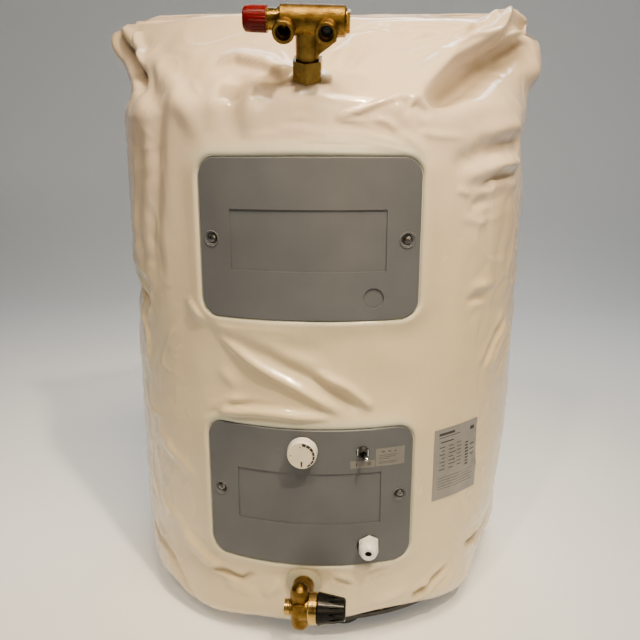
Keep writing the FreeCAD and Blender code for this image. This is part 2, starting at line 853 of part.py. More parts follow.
def sunken_panel(centre):
    """The level-sided space of the sunken panel, and the wall that backs it."""
    front = f"-({COVER_FRONT} + cut_reach)"
    space = common(shell_band(f"{COVER_FRONT} - panel_depth", f"{COVER_FRONT} + panel_depth", centre),
                   box("2 * panel_half_width", "2 * cut_reach", "2 * panel_half_height",
                       ("0", front, centre)))
    backing = common(shell_band(f"{COVER_BACK} - panel_backing",
                                f"{COVER_FRONT} - panel_depth - panel_backing", centre),
                     box("2 * (panel_half_width + panel_rim)", "2 * cut_reach",
                         "2 * (panel_half_height + panel_rim)", ("0", front, centre)))
    return space, backing


def screw_wells(centre):
    """The cups added behind a cover at its screws, and what is cut out of them."""
    cups = []
    recesses = []
    for _, x in screw_places():
        floor = (x, "-well_floor", centre)
        back = (x, "-(well_floor - pad_thickness)", centre)
        cups.append(cylinder("well_radius + well_wall", "cut_reach / 2", back, TO_FRONT))
        recesses.append(cone("well_floor_radius", "well_mouth_radius", "cut_reach / 2", floor, TO_FRONT))
        recesses.append(cylinder("screw_radius + screw_hole_gap", "2 * pad_thickness", back, TO_FRONT))
    return cups, recesses


def trim_to_cover(pieces, centre):
    """Cuts cups and pads off just under the cover's curved front."""
    half = "(cover_half_height + frame_margin)"
    bound = cylinder(f"{COVER_FRONT} - contact_gap", f"2 * {half}", ("0", "0", f"{centre} - {half}"))
    return common(fuse(*pieces), bound)


def make_upper_cover():
    centre = "upper_cover_height"
    cups, recesses = screw_wells(centre)
    space, backing = sunken_panel(centre)
    middle = ("knockout_x", "-tank_radius", f"{centre} - knockout_drop")
    behind = common(shell_band(f"{COVER_BACK} - knockout_depth", f"{COVER_FRONT} - panel_backing", centre),
                    cylinder("knockout_radius + knockout_rim", "2 * cut_reach", middle, TO_FRONT))
    sunk = shell_band(f"{COVER_FRONT} - knockout_depth", f"{COVER_FRONT} + knockout_depth", centre)
    knockout = common(sunk, cylinder("knockout_radius", "2 * cut_reach", middle, TO_FRONT))
    node(cut(fuse(cover_blank(centre), backing, behind, trim_to_cover(cups, centre)),
             space, knockout, *recesses), "upper_cover")


def round_seat(radius, hole, floor, x, z):
    """A pad behind the cover with a flat round recess in front, a hole and room for the nut behind."""
    back = (x, f"-({floor} - pad_thickness)", z)
    pad = cylinder(f"{radius} + recess_wall", "cut_reach / 2", back, TO_FRONT)
    recess = cylinder(radius, "cut_reach / 2", (x, f"-{floor}", z), TO_FRONT)
    through = cylinder(hole, "2 * pad_thickness", back, TO_FRONT)
    behind = cylinder(f"{radius} + recess_wall / 2", "cut_reach / 2", back, TO_BACK)
    return pad, [recess, through, behind]


def make_lower_cover():
    centre = "lower_cover_height"
    cups, recesses = screw_wells(centre)
    space, backing = sunken_panel(centre)
    gland_pad, gland_cuts = round_seat("gland_recess_radius", "gland_thread_radius + screw_hole_gap",
                                       "gland_floor", "gland_x", f"{centre} - gland_drop")
    switch_pad, switch_cuts = round_seat("switch_recess_radius", "switch_bush_radius + screw_hole_gap",
                                         "switch_floor", "switch_x", "switch_height")
    knob_hole = cylinder("spindle_radius + spindle_hole_gap", "2 * cut_reach",
                         ("knob_x", "-tank_radius", "knob_height"), TO_FRONT)
    node(cut(fuse(cover_blank(centre), backing, trim_to_cover([*cups, gland_pad, switch_pad], centre)),
             space, knob_hole, *recesses, *gland_cuts, *switch_cuts), "lower_cover")


def make_cover_screws(label, centre):
    """Two pan-head screws, as separate solids."""
    pieces = []
    for side, x in screw_places():
        place = (x, "-well_floor", centre)
        head = turned(f"{label}_{'left' if side < 0 else 'right'}", [
            ("0", "0"),
            ("screw_head_radius", "0"),
            ("screw_head_radius", "screw_head_height * 0.45"),
            ("screw_head_radius * 0.75", "screw_head_height * 0.85"),
            ("screw_head_radius * 0.35", "screw_head_height"),
            ("0", "screw_head_height"),
        ], place, TO_FRONT)
        pieces += [head, cylinder("screw_radius", "screw_length", place, TO_BACK)]
    node(fuse(*pieces), label)


# Thermostat, switch and gland on the lower cover


def make_thermostat():
    place = ("knob_x", f"-({COVER_FRONT} + knob_gap)", "knob_height")
    bore = "spindle_radius"
    top = "knob_depth"
    node(turned("knob_body", [
        (bore, "0"),
        ("knob_radius - knob_rim", "0"),
        ("knob_radius", "knob_rim"),
        ("knob_front_radius", f"{top} - knob_rim"),
        ("knob_front_radius - knob_rim", top),
        ("knob_face_radius", top),
        ("knob_face_radius", f"{top} + knob_face_step"),
        ("0", f"{top} + knob_face_step"),
        ("0", "spindle_bite"),
        (bore, "spindle_bite"),
    ], place, TO_FRONT), "thermostat_knob")
    face = f"(sqrt({COVER_BACK} ^ 2 - (thermostat_half_width - knob_x) ^ 2) - axial_gap)"
    tail = "(thermostat_bore_depth - axial_gap)"
    node(cylinder("spindle_radius", f"{COVER_FRONT} + knob_gap + spindle_bite - {face} + {tail}",
                  ("knob_x", f"-({face} - {tail})", "knob_height"), TO_FRONT), "thermostat_spindle")
    body = rounded(box("2 * thermostat_half_width", "thermostat_depth", "2 * thermostat_half_width",
                       ("knob_x", f"-{face}", "knob_height")),
                   S.thermostat_corner, lambda edge: runs_along(edge, vector(0, 1, 0)))
    socket = cylinder("spindle_radius + running_gap", "thermostat_bore_depth",
                      ("knob_x", f"-{face}", "knob_height"), TO_BACK)
    node(cut(body, socket), "thermostat_body")


def make_switch():
    x = "switch_x"
    z = "switch_height"
    back = "(switch_floor - pad_thickness - contact_gap)"
    pivot = f"({back} + lever_pivot_depth)"
    body = box("2 * switch_body_half_width", "switch_body_depth", "2 * switch_body_half_height",
               (x, f"-{back}", z))
    length = "(switch_bush_length + pad_thickness)"
    bush = cylinder("switch_bush_radius", length, (x, f"-{back}", z), TO_FRONT)
    throat = cone("lever_tip_radius", "switch_bush_radius - switch_bush_wall",
                  f"{length} - lever_pivot_depth", (x, f"-{pivot}", z), TO_FRONT)
    room = cylinder("lever_ball_radius + axial_gap", "2 * (lever_ball_radius + axial_gap)",
                    (x, f"-{pivot} + lever_ball_radius + axial_gap", z), TO_FRONT)
    node(cut(fuse(body, bush), throat, room), "toggle_switch_body")
    node(cut(prism("switch_nut_across", "switch_nut_thickness", (x, "-switch_floor", z), TO_FRONT),
             cylinder("switch_bush_radius + screw_hole_gap", "switch_nut_thickness",
                      (x, "-switch_floor", z), TO_FRONT)), "toggle_switch_nut")
    lever = turned("lever_form", [
        ("0", "-lever_ball_radius"),
        ("lever_ball_radius / 2", "-lever_ball_radius"),
        ("lever_ball_radius", "-lever_ball_radius / 2"),
        ("lever_ball_radius", "lever_ball_radius / 2"),
        ("lever_root_radius", "lever_ball_radius"),
        ("lever_tip_radius", "lever_length"),
        ("lever_tip_radius * cos(30)", "lever_length + lever_tip_radius * sin(30)"),
        ("lever_tip_radius * cos(60)", "lever_length + lever_tip_radius * sin(60)"),
        ("0", "lever_length + lever_tip_radius"),
    ])
    lean = FreeCAD.Rotation(vector(0, 0, 1), S.lever_lean)
    node(carried(seat(lever, (x, f"-{pivot}", z), lean * TO_FRONT)), "toggle_lever")


def make_gland():
    z = "(lower_cover_height - gland_drop)"

    def along(distance):
        return ("gland_x", f"-(gland_floor + {distance})", z)

    seal_start = "(gland_flange + gland_seat_depth)"
    outer = fuse(prism("gland_across", "gland_flange", along("0"), TO_FRONT),
                 cylinder("gland_thread_radius", "gland_flange + gland_thread_length",
                          along("(-gland_thread_length)"), TO_FRONT),
                 cylinder("gland_seal_radius + gland_wall", "gland_tower_length", along("0"), TO_FRONT))
    node(cut(outer, cylinder("gland_bore", "cut_reach", along("(-cut_reach / 2)"), TO_FRONT),
             cylinder("gland_seal_radius + screw_hole_gap", "gland_tower_length", along(seal_start),
                      TO_FRONT)), "gland_body")
    nut_back = along("(-pad_thickness - contact_gap)")
    node(cut(prism("gland_locknut_across", "gland_locknut_thickness", nut_back, TO_BACK),
             cylinder("gland_thread_radius + socket_gap", "gland_locknut_thickness", nut_back, TO_BACK)),
         "gland_locknut")
    node(tube("gland_seal_radius", "gland_seal_bore", "gland_seal_length", along(seal_start), TO_FRONT),
         "gland_seal")
    top = "gland_nut_length"
    inner = "gland_seal_radius + gland_wall + screw_hole_gap"
    nut = turned("gland_dome", [
        (inner, "0"),
        ("gland_nut_radius", "0"),
        ("gland_nut_radius", "gland_dome_start"),
        ("gland_shoulder_radius", "gland_dome_middle"),
        ("gland_crown_radius", top),
        ("gland_mouth_radius", top),
        ("gland_mouth_radius", f"{top} - gland_mouth_length"),
        ("gland_seal_radius + screw_hole_gap", f"{top} - gland_mouth_length - gland_seat_depth"),
        (inner, "gland_tower_length - gland_flange"),
    ], along("gland_flange + contact_gap"), TO_FRONT)
    node(ring_of_pockets(nut, "gland_grip", "gland_grip_radius", "gland_nut_radius + gland_grip_radius / 2",
                         "gland_grip_count"), "gland_dome_nut")


# Element flange and what is behind the covers


def flange_places():
    for i in range(int(S.bolt_count)):
        angle = f"(360 * {i} / bolt_count + 30)"
        yield f"bolt_circle * cos({angle})", f"flange_height + bolt_circle * sin({angle})"


def flange_bolt_rods(radius, length):
    """One rod per bolt, from the flange's front face back into the tank's neck."""
    front = "-(flange_face + gasket_thickness + flange_thickness)"
    return fuse(*[cylinder(radius, length, (x, front, z), TO_BACK) for x, z in flange_places()])


def element_places():
    for i in range(2):
        yield f"(element_first_x + {i} * element_spacing)"


def make_element():
    gasket = tube("flange_radius", "flange_neck_bore", "gasket_thickness",
                  ("0", "-flange_face", "flange_height"), TO_FRONT)
    node(cut(gasket, flange_bolt_rods("bolt_radius + bolt_hole_gap", "cut_reach")), "element_gasket")
    plate = cylinder("flange_radius", "flange_thickness",
                     ("0", "-(flange_face + gasket_thickness)", "flange_height"), TO_FRONT)
    holes = [flange_bolt_rods("bolt_radius + bolt_hole_gap", "cut_reach")]
    front = "(flange_face + gasket_thickness + flange_thickness)"
    tubes = []
    for x in element_places():
        for side in ("+", "-"):
            z = f"flange_height {side} element_bend_radius"
            length = "(element_length + element_tail)"
            tubes.append(cylinder("element_tube_radius", length,
                                  (x, f"-({front} + element_tail)", z), TO_BACK))
            holes.append(cylinder("element_tube_radius + weld_gap", "cut_reach", (x, f"-{front}", z),
                                  TO_BACK))
        bend = doc.addObject("Part::Torus", "Bend")
        bind(bend, Radius1="element_bend_radius", Radius2="element_tube_radius")
        bend.Angle3 = 180
        seat(bend, (x, f"element_length - {front}", "flange_height"), TO_RIGHT)
        tubes.append(bend)
    node(fuse(*tubes), "heating_elements")
    z = "flange_height + pocket_lift"
    holes.append(cylinder("pocket_radius + weld_gap", "cut_reach", ("pocket_x", f"-{front}", z), TO_BACK))
    node(cut(plate, *holes), "element_flange")
    pocket = fuse(cylinder("pocket_radius", "pocket_length", ("pocket_x", f"-{front}", z), TO_BACK),
                  prism("pocket_across", "pocket_head", ("pocket_x", f"-{front}", z), TO_FRONT))
    node(cut(pocket, cylinder("pocket_bore", "pocket_length", ("pocket_x", f"-({front} + pocket_head)", z),
                              TO_BACK)), "sensor_pocket")
    bolts = []
    for x, z in flange_places():
        bolts.append(prism("bolt_head_across", "bolt_head_height", (x, f"-{front}", z), TO_FRONT))
        bolts.append(cylinder("bolt_radius", "bolt_length", (x, f"-{front}", z), TO_BACK))
    node(fuse(*bolts), "flange_bolts")


def on_tank_wall(half_width, depth, half_height, x, z, nearest):
    """A block whose back stands just off the tank wall at its inner edge."""
    back = f"sqrt(tank_radius ^ 2 - ({nearest}) ^ 2)"
    return box(f"2 * {half_width}", depth, f"2 * {half_height}",
               (x, f"-({back} + fill_gap + {depth})", z))


def make_terminals():
    block = on_tank_wall("terminal_half_width", "terminal_depth", "terminal_half_height",
                         "terminal_x", "terminal_height", "terminal_x + terminal_half_width")
    slots = []
    for i in (-1, 0, 1):
        slots.append(box("terminal_slot_width", "2 * terminal_slot_depth", "terminal_slot_height",
                         ("terminal_x", "-(tank_radius + terminal_depth)",
                          f"terminal_height + {i} * terminal_pitch")))
    node(cut(block, *slots), "terminal_block")
    body = on_tank_wall("cutout_half_width", "cutout_depth", "cutout_half_height", "0",
                        "upper_cover_height", "0")
    button = cylinder("cutout_button_radius", "cutout_button_height",
                      ("0", "-(tank_radius + fill_gap + cutout_depth)", "upper_cover_height"), TO_FRONT)
    node(fuse(body, button), "thermal_cutout")


# Hot outlet and mixing valve, in the valve's own frame


def wound_spring(radius, length, at):
    """A coil about a line to the right, its wire drawn with flat sides and its ends left plain."""
    wire = S.spring_wire_radius
    steps = int(S.spring_step_count)
    sides = int(S.spring_side_count)
    turns = int(S.spring_turn_count)
    rise = (length - 2 * wire) / (turns * steps)
    sections = []
    for i in range(turns * steps + 1):
        angle = math.tau * i / steps
        corners = []
        for j in range(sides + 1):
            around = math.tau * j / sides
            reach = radius + wire * math.cos(around)
            along = wire + rise * i + wire * math.sin(around)
            corners.append(at + vector(along, reach * math.cos(angle), reach * math.sin(angle)))
        sections.append(Part.makePolygon(corners))
    return Part.makeLoft(sections, True, True)


def make_outlet():
    foot = ("0", "0", "-stub_inner_length")
    stub = fuse(cylinder("stub_radius", "stub_inner_length + stub_head_drop", foot),
                cylinder("stub_head_radius", "stub_head_length + stub_head_drop",
                         ("0", "0", "-stub_head_drop")))
    node(in_valve_frame(cut(stub, cylinder("stub_bore", "stub_inner_length + cut_reach", foot))),
         "hot_outlet_stub")
    top = "stub_head_length"
    end = ("0", "0", f"{top} - dip_length")
    tube_and_collar = fuse(cylinder("dip_radius", "dip_length", end),
                           cylinder("stub_bore - socket_gap", "dip_collar_length",
                                    ("0", "0", f"{top} - dip_collar_drop")))
    node(in_valve_frame(cut(tube_and_collar, cylinder("dip_bore", "dip_length", end))), "cold_dip_tube")
    node(in_valve_frame(tube("union_flange_radius", "stub_bore", "union_gasket_thickness",
                             ("0", "0", top))), "union_gasket")
    rim = "(stub_head_length + union_gasket_thickness + stem_flange_thickness)"
    node(in_valve_frame(cut(
        prism("union_across", "union_length"),
        cylinder("stub_head_radius + union_thread_gap", f"{rim} + union_thread_gap"),
        cylinder("union_neck_radius + union_thread_gap", "union_length"))), "union_nut")


def barrel_x(distance):
    """A place on the barrel's axis, right of the stem."""
    return (distance, "0", "barrel_lift")


BARREL_LEFT_FACE = "(-barrel_left - contact_gap)"
BARREL_RIGHT_FACE = "(barrel_right + contact_gap)"


def port_boss(side):
    """A port's outer boss, from the barrel's axis to its mouth."""
    x = f"{side} * port_spread"
    z = "(barrel_lift - port_drop)"
    return fuse(cylinder("port_radius", "port_reach - port_lip", (x, "0", z), TO_FRONT),
                cone("port_radius", "port_radius - port_lip", "port_lip",
                     (x, "-(port_reach - port_lip)", z), TO_FRONT))


def port_bores(side):
    """A port's bore with its step down to the narrower way into the barrel."""
    mouth = (f"{side} * port_spread", "-port_reach", "barrel_lift - port_drop")
    return fuse(cylinder("port_bore", "port_depth", mouth, TO_BACK),
                cylinder("port_inner_bore", "port_reach", mouth, TO_BACK))


def make_mixing_body():
    rim = "(stub_head_length + union_gasket_thickness)"
    above_nut = "(union_length + stem_gap)"
    foot = fuse(cylinder("union_flange_radius", "stem_flange_thickness", ("0", "0", rim)),
                cylinder("union_neck_radius", f"{above_nut} + stem_gap - {rim}", ("0", "0", rim)))
    stem = cylinder("stem_radius", f"barrel_lift - {above_nut}", ("0", "0", above_nut))
    barrel = bevelled(cylinder("barrel_radius", "barrel_left + barrel_right", barrel_x("-barrel_left"),
                               TO_RIGHT), S.barrel_bevel, is_round)
    web = padded("casting_web", "XZ_Plane", [
        ("0", "web_foot"),
        ("stem_radius - stem_gap", "web_foot"),
        ("web_outer_x", "web_outer_lift"),
        ("web_outer_x", "barrel_lift"),
        ("0", "barrel_lift"),
    ], "web_thickness")
    cuts = [
        cylinder("barrel_bore", "barrel_left + barrel_right", barrel_x("-barrel_left"), TO_RIGHT),
        cylinder("headwork_collar_radius + axial_gap", "cut_reach", barrel_x("-barrel_left"), TO_LEFT),
        cylinder("stem_bore", "barrel_lift - stub_head_length", ("0", "0", "stub_head_length")),
        port_bores(-1),
        port_bores(1),
    ]
    solid = fuse(foot, stem, barrel, web, port_boss(-1), port_boss(1))
    node(in_valve_frame(cut(solid, *cuts)), "mixing_valve_body")


def make_mixing_ends():
    """The headwork that carries the cap's spindle, and the plug that closes the other end."""
    spigot = "barrel_bore - spigot_gap"
    inner = f"{BARREL_LEFT_FACE} + contact_gap + headwork_spigot_length"
    headwork = fuse(
        cylinder(spigot, "headwork_spigot_length + contact_gap", barrel_x(BARREL_LEFT_FACE), TO_RIGHT),
        cylinder("headwork_neck_radius", "headwork_neck_length", barrel_x(BARREL_LEFT_FACE), TO_LEFT),
        cylinder("headwork_collar_radius", "headwork_collar_length", barrel_x(BARREL_LEFT_FACE), TO_LEFT))
    node(in_valve_frame(cut(headwork, cylinder("mixing_spindle_radius + running_gap", "cut_reach",
                                               barrel_x(inner), TO_LEFT))), "mixing_headwork")
    plug = fuse(
        prism("plug_across", "plug_head_length", barrel_x(BARREL_RIGHT_FACE), TO_RIGHT),
        cylinder("plug_washer_radius", "plug_washer_length", barrel_x(BARREL_RIGHT_FACE), TO_RIGHT),
        cylinder(spigot, "plug_spigot_length + contact_gap", barrel_x(BARREL_RIGHT_FACE), TO_LEFT))
    node(in_valve_frame(plug), "mixing_end_plug")


SPINDLE_END = "(-barrel_left + headwork_spigot_length + spindle_proud)"
WAX_START = f"({SPINDLE_END} + axial_gap + piston_travel)"
PISTON_START = f"({WAX_START} + wax_lead)"


def make_mixing_cap():
    """The red cap with its grip grooves, and the spindle with its serrated drum."""
    start = f"({BARREL_LEFT_FACE} - headwork_neck_length - axial_gap)"
    cap = turned("cap_form", [
        ("cap_bore", "0"),
        ("cap_radius", "0"),
        ("cap_radius", "cap_length - cap_taper_length"),
        ("cap_crown_radius", "cap_length - cap_round"),
        ("cap_crown_radius - cap_round", "cap_length"),
        ("0", "cap_length"),
        ("0", "cap_length - cap_roof"),
        ("cap_bore", "cap_length - cap_roof"),
    ])
    ring_of_pockets(cap, "cap_grip", "cap_groove_radius", "cap_radius + cap_groove_radius - cap_groove_depth",
                    "cap_groove_count")
    seat(cap, barrel_x(f"{start} - cap_setback"), TO_LEFT)
    node(in_valve_frame(carried(cap)), "mixing_cap")
    drum = turned("drum_form", [
        ("0", "0"),
        ("drum_radius", "0"),
        ("drum_radius", "drum_length"),
        ("0", "drum_length"),
    ])
    ring_of_pockets(drum, "drum_serration", "drum_notch_radius",
                    "drum_radius + drum_notch_radius - drum_notch_depth", "drum_notch_count")
    seat(drum, barrel_x(start), TO_LEFT)
    rod = cylinder("mixing_spindle_radius", f"{SPINDLE_END} - {start} + spindle_reach",
                   barrel_x(SPINDLE_END), TO_LEFT)
    node(in_valve_frame(fuse(drum, rod)), "mixing_spindle")


def make_mixing_piston():
    """The piston, the wax element that pushes it, and the spring that returns it."""
    outer = "barrel_bore - running_gap"
    web_back = "(piston_length - piston_web) / 2"
    web_front = "(piston_length + piston_web) / 2"
    sleeve = turned("piston_form", [
        ("wax_radius", web_back),
        ("piston_bore", web_back),
        ("piston_bore", "0"),
        (outer, "0"),
        (outer, "piston_length"),
        ("piston_bore", "piston_length"),
        ("piston_bore", web_front),
        ("wax_radius", web_front),
    ])
    ring_of_pockets(sleeve, "piston_way", "piston_way_radius", "(piston_bore + wax_radius) / 2",
                    "piston_way_count")
    seat(sleeve, barrel_x(PISTON_START), TO_RIGHT)
    node(in_valve_frame(carried(sleeve)), "mixing_piston")
    wax = fuse(cylinder("wax_radius - contact_gap", "wax_length", barrel_x(WAX_START), TO_RIGHT),
               cylinder("wax_collar_radius", "wax_collar_length",
                        barrel_x(f"{PISTON_START} + {web_front} + contact_gap"), TO_RIGHT))
    node(in_valve_frame(wax), "wax_element")
    piston_end = (S.headwork_spigot_length + S.spindle_proud - S.barrel_left
                  + S.axial_gap + S.piston_travel + S.wax_lead + S.piston_length)
    first = piston_end + S.axial_gap + S.piston_travel
    last = S.barrel_right - S.plug_spigot_length - S.axial_gap
    spring = shown(wound_spring(S.mixing_spring_radius, last - first, vector(first, 0, S.barrel_lift)),
                   "mixing_spring_form")
    node(in_valve_frame(carried(spring)), "mixing_return_spring")


def make_check_valve():
    """The cage and poppet of the check valve, behind the cold port's mouth."""
    z = "(barrel_lift - port_drop)"
    start = "(port_reach - port_depth)"
    seat_back = f"({start} - cage_seat_length)"
    lip_front = f"({start} - cage_length + cage_lip_length)"
    front = ("port_spread", f"-{start}", z)
    chamber = ("port_spread", f"-{seat_back}", z)
    cage = cut(cylinder("port_inner_bore - spigot_gap", "cage_length", front, TO_BACK),
               cylinder("cage_seat_bore", "cage_length", front, TO_BACK),
               cylinder("cage_bore", f"{seat_back} - {lip_front}", chamber, TO_BACK))
    node(in_valve_frame(cage), "check_valve_cage")
    head = ("port_spread", f"-({seat_back} - contact_gap)", z)
    poppet = fuse(cylinder("poppet_radius", "poppet_head", head, TO_BACK),
                  cylinder("poppet_stem_radius", "poppet_stem_length", head, TO_FRONT))
    node(in_valve_frame(poppet), "check_valve_poppet")


# Drain stub and safety valve


SPIGOT_END = "(safety_reach - collar_thickness - spigot_end_gap)"


def make_drain():
    start = "(sqrt(tank_radius ^ 2 - safety_x ^ 2) - drain_inner_length)"
    end = f"(jacket_radius + safety_reach - {SPIGOT_END} + spigot_socket_depth - spigot_end_gap)"
    node(tube("stub_radius", "stub_bore", f"{end} - {start}", ("safety_x", f"-{start}", "safety_height"),
              TO_FRONT), "drain_stub")
    disc = turned("collar_form", [
        ("stub_radius + socket_gap", "-collar_radius"),
        ("collar_radius", "-collar_radius"),
        ("collar_radius", "collar_edge"),
        ("collar_crown_radius", "collar_thickness"),
        ("stub_radius + socket_gap", "collar_thickness"),
    ], ("safety_x", "-jacket_radius", "safety_height"), TO_FRONT)
    wall = cylinder("jacket_radius + frame_seat_gap", "4 * collar_radius",
                    ("0", "0", "safety_height - 2 * collar_radius"))
    node(cut(disc, wall), "pipe_collar")


def front_boss():
    """The squarish boss in front of the barrel, with its upright ribs."""
    boss = box("front_boss_width", "front_boss_reach", "front_boss_height",
               ("0", "-front_boss_reach", "front_boss_lift"))
    ribs = []
    for i in range(int(S.front_rib_count)):
        x = f"({i} - (front_rib_count - 1) / 2) * front_rib_pitch"
        ribs.append(box("front_rib_width", "front_boss_reach + front_rib_reach", "front_rib_height",
                        (x, "-(front_boss_reach + front_rib_reach)", "front_boss_lift")))
    return [rounded(boss, S.front_boss_corner, lambda edge: runs_along(edge, vector(0, 1, 0))), *ribs]


def make_safety_body():
    barrel = turned("safety_barrel", [
        ("0", "-safety_barrel_down"),
        ("safety_barrel_radius - safety_barrel_taper", "-safety_barrel_down"),
        ("safety_barrel_radius", "2 * safety_barrel_taper - safety_barrel_down"),
        ("safety_barrel_radius", "safety_barrel_up"),
        ("safety_barrel_radius * cos(30)", "safety_barrel_up + safety_barrel_radius * sin(30)"),
        ("safety_barrel_radius * cos(60)", "safety_barrel_up + safety_barrel_radius * sin(60)"),
        ("0", "safety_barrel_up + safety_barrel_radius"),
    ])
    solid = fuse(
        barrel,
        cylinder("bonnet_socket_radius", "bonnet_socket_end", turn=TO_RIGHT),
        cylinder("left_boss_radius", "left_boss_end", turn=TO_LEFT),
        cylinder("spigot_radius", SPIGOT_END, turn=TO_BACK),
        *front_boss())
    left_face = ("-left_boss_end", "0", "0")
    right_face = ("bonnet_socket_end", "0", "0")
    cuts = [
        cylinder("outlet_mouth_radius", "outlet_mouth_depth", ("0", "0", "-safety_barrel_down")),
        cylinder("drain_passage_radius", "safety_barrel_down",
                 ("drain_passage_x", "0", "-safety_barrel_down")),
        cylinder("bonnet_chamber_radius", "cut_reach", ("seat_x", "0", "0"), TO_RIGHT),
        cylinder("seat_bore", "left_boss_end + seat_x", left_face, TO_RIGHT),
        cylinder("side_plug_spigot", "side_plug_spigot_length + axial_gap", left_face, TO_RIGHT),
        cylinder("side_plug_radius + axial_gap", "cut_reach", left_face, TO_LEFT),
        cylinder("bonnet_radius + axial_gap", "cut_reach", right_face, TO_RIGHT),
        cylinder("inlet_passage_radius", SPIGOT_END, ("inlet_passage_x", "0", "0"), TO_BACK),
        cylinder("stub_radius + socket_gap", "spigot_socket_depth",
                 ("0", f"{SPIGOT_END} - spigot_socket_depth", "0"), TO_BACK),
    ]
    node(at_safety_valve(cut(solid, *cuts)), "safety_valve_body")


def make_bonnet():
    """The bonnet that holds the spring down, and the plug at the body's other side."""
    roof = "bonnet_length - bonnet_wall"
    bonnet = turned("bonnet_form", [
        ("bonnet_bore", "-bonnet_spigot_length"),
        ("bonnet_chamber_radius - spigot_gap", "-bonnet_spigot_length"),
        ("bonnet_chamber_radius - spigot_gap", "contact_gap"),
        ("bonnet_radius - bonnet_bead", "contact_gap"),
        ("bonnet_radius", "contact_gap + bonnet_bead"),
        ("bonnet_radius", "bonnet_length - bonnet_bead"),
        ("bonnet_radius - bonnet_bead", "bonnet_length"),
        ("bonnet_nose_radius", "bonnet_length"),
        ("bonnet_nose_radius", "bonnet_length + bonnet_nose_length"),
        ("disc_spindle_radius + running_gap", "bonnet_length + bonnet_nose_length"),
        ("disc_spindle_radius + running_gap", roof),
        ("bonnet_bore", roof),
    ])
    seat(bonnet, ("bonnet_socket_end", "0", "0"), TO_RIGHT)
    node(at_safety_valve(carried(bonnet)), "safety_bonnet")
    face = ("-left_boss_end - contact_gap", "0", "0")
    plug = fuse(cylinder("side_plug_radius", "side_plug_length", face, TO_LEFT),
                cylinder("side_plug_spigot - spigot_gap", "side_plug_spigot_length", face, TO_RIGHT))
    groove = tube("side_plug_radius + side_plug_groove", "side_plug_radius - side_plug_groove",
                  "side_plug_groove", ("-left_boss_end - side_plug_length / 2", "0", "0"), TO_LEFT)
    node(at_safety_valve(cut(plug, groove)), "safety_side_plug")


def make_safety_disc():
    """The valve disc with its spindle, and the spring that holds it on its seat."""
    rest = "(seat_x + contact_gap)"
    end = "(bonnet_socket_end + bonnet_length + bonnet_nose_length + disc_spindle_proud)"
    disc = fuse(
        cylinder("disc_radius", "disc_thickness", (rest, "0", "0"), TO_RIGHT),
        cylinder("disc_spindle_radius", f"{end} - {rest}", (rest, "0", "0"), TO_RIGHT))
    node(at_safety_valve(disc), "safety_disc")
    first = S.seat_x + S.contact_gap + S.disc_thickness + S.axial_gap
    last = S.bonnet_socket_end + S.bonnet_length - S.bonnet_wall - S.axial_gap
    spring = shown(wound_spring(S.safety_spring_radius, last - first, vector(first, 0, 0)),
                   "safety_spring_form")
    node(at_safety_valve(carried(spring)), "safety_spring")


def make_safety_knob():
    """The black relief knob: fluted, tapering outwards, and turning on the bonnet's nose."""
    nose = "bonnet_nose_radius + running_gap"
    length = "safety_knob_length"
    knob = turned("safety_knob_form", [
        (nose, "0"),
        ("safety_knob_radius - safety_knob_edge", "0"),
        ("safety_knob_radius", "safety_knob_edge"),
        ("safety_knob_tip_radius + safety_knob_edge", f"{length} - 2 * safety_knob_edge"),
        ("safety_knob_tip_radius - safety_knob_edge", length),
        ("0", length),
        ("0", "safety_knob_socket"),
        (nose, "safety_knob_socket"),
    ])
    ring_of_pockets(knob, "knob_flute", "safety_knob_flute",
                    "safety_knob_tip_radius + safety_knob_flute + flute_floor", "safety_knob_flute_count")
    seat(knob, ("bonnet_socket_end + bonnet_length + axial_gap", "0", "0"), TO_RIGHT)
    node(at_safety_valve(carried(knob)), "safety_knob")


def check_and_write():
    """Checks every object and writes each sub-part to its own file."""
    doc.recompute()
    for obj in doc.Objects:
        faults = [word for word in obj.State if word in ("Invalid", "Error")]
        if faults:
            raise RuntimeError(f"{obj.Name} ({obj.Label}) is {faults}")
    os.makedirs("parts", exist_ok=True)
    for obj in nodes:
        shape = obj.Shape
        if shape.isNull() or not shape.isValid() or not shape.Solids:
            raise RuntimeError(f"{obj.Label} has no valid solid")
    for obj in nodes:
        obj.Shape.exportStep(f"parts/{obj.Label}.step")
        print(f"{obj.Label}: {len(obj.Shape.Solids)} solids, {obj.Shape.Volume / 1000:.2f} cm3")


def main():
    make_sheet()
    make_tank()
    make_base()
    make_frame("upper_cover_frame", "upper_cover_height")
    make_frame("lower_cover_frame", "lower_cover_height")
    make_upper_cover()
    make_lower_cover()
    make_cover_screws("upper_cover_screws", "upper_cover_height")
    make_cover_screws("lower_cover_screws", "lower_cover_height")
    make_thermostat()
    make_switch()
    make_gland()
    make_element()
    make_terminals()
    make_outlet()
    make_mixing_body()
    make_mixing_ends()
    make_mixing_cap()
    make_mixing_piston()
    make_check_valve()
    make_drain()
    make_safety_body()
    make_bonnet()
    make_safety_disc()
    make_safety_knob()
    make_soft_body()
    check_and_write()


main()
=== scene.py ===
import math

import bmesh
import bpy
import numpy as np
from mathutils import Matrix, Vector, noise
from mathutils.geometry import delaunay_2d_cdt


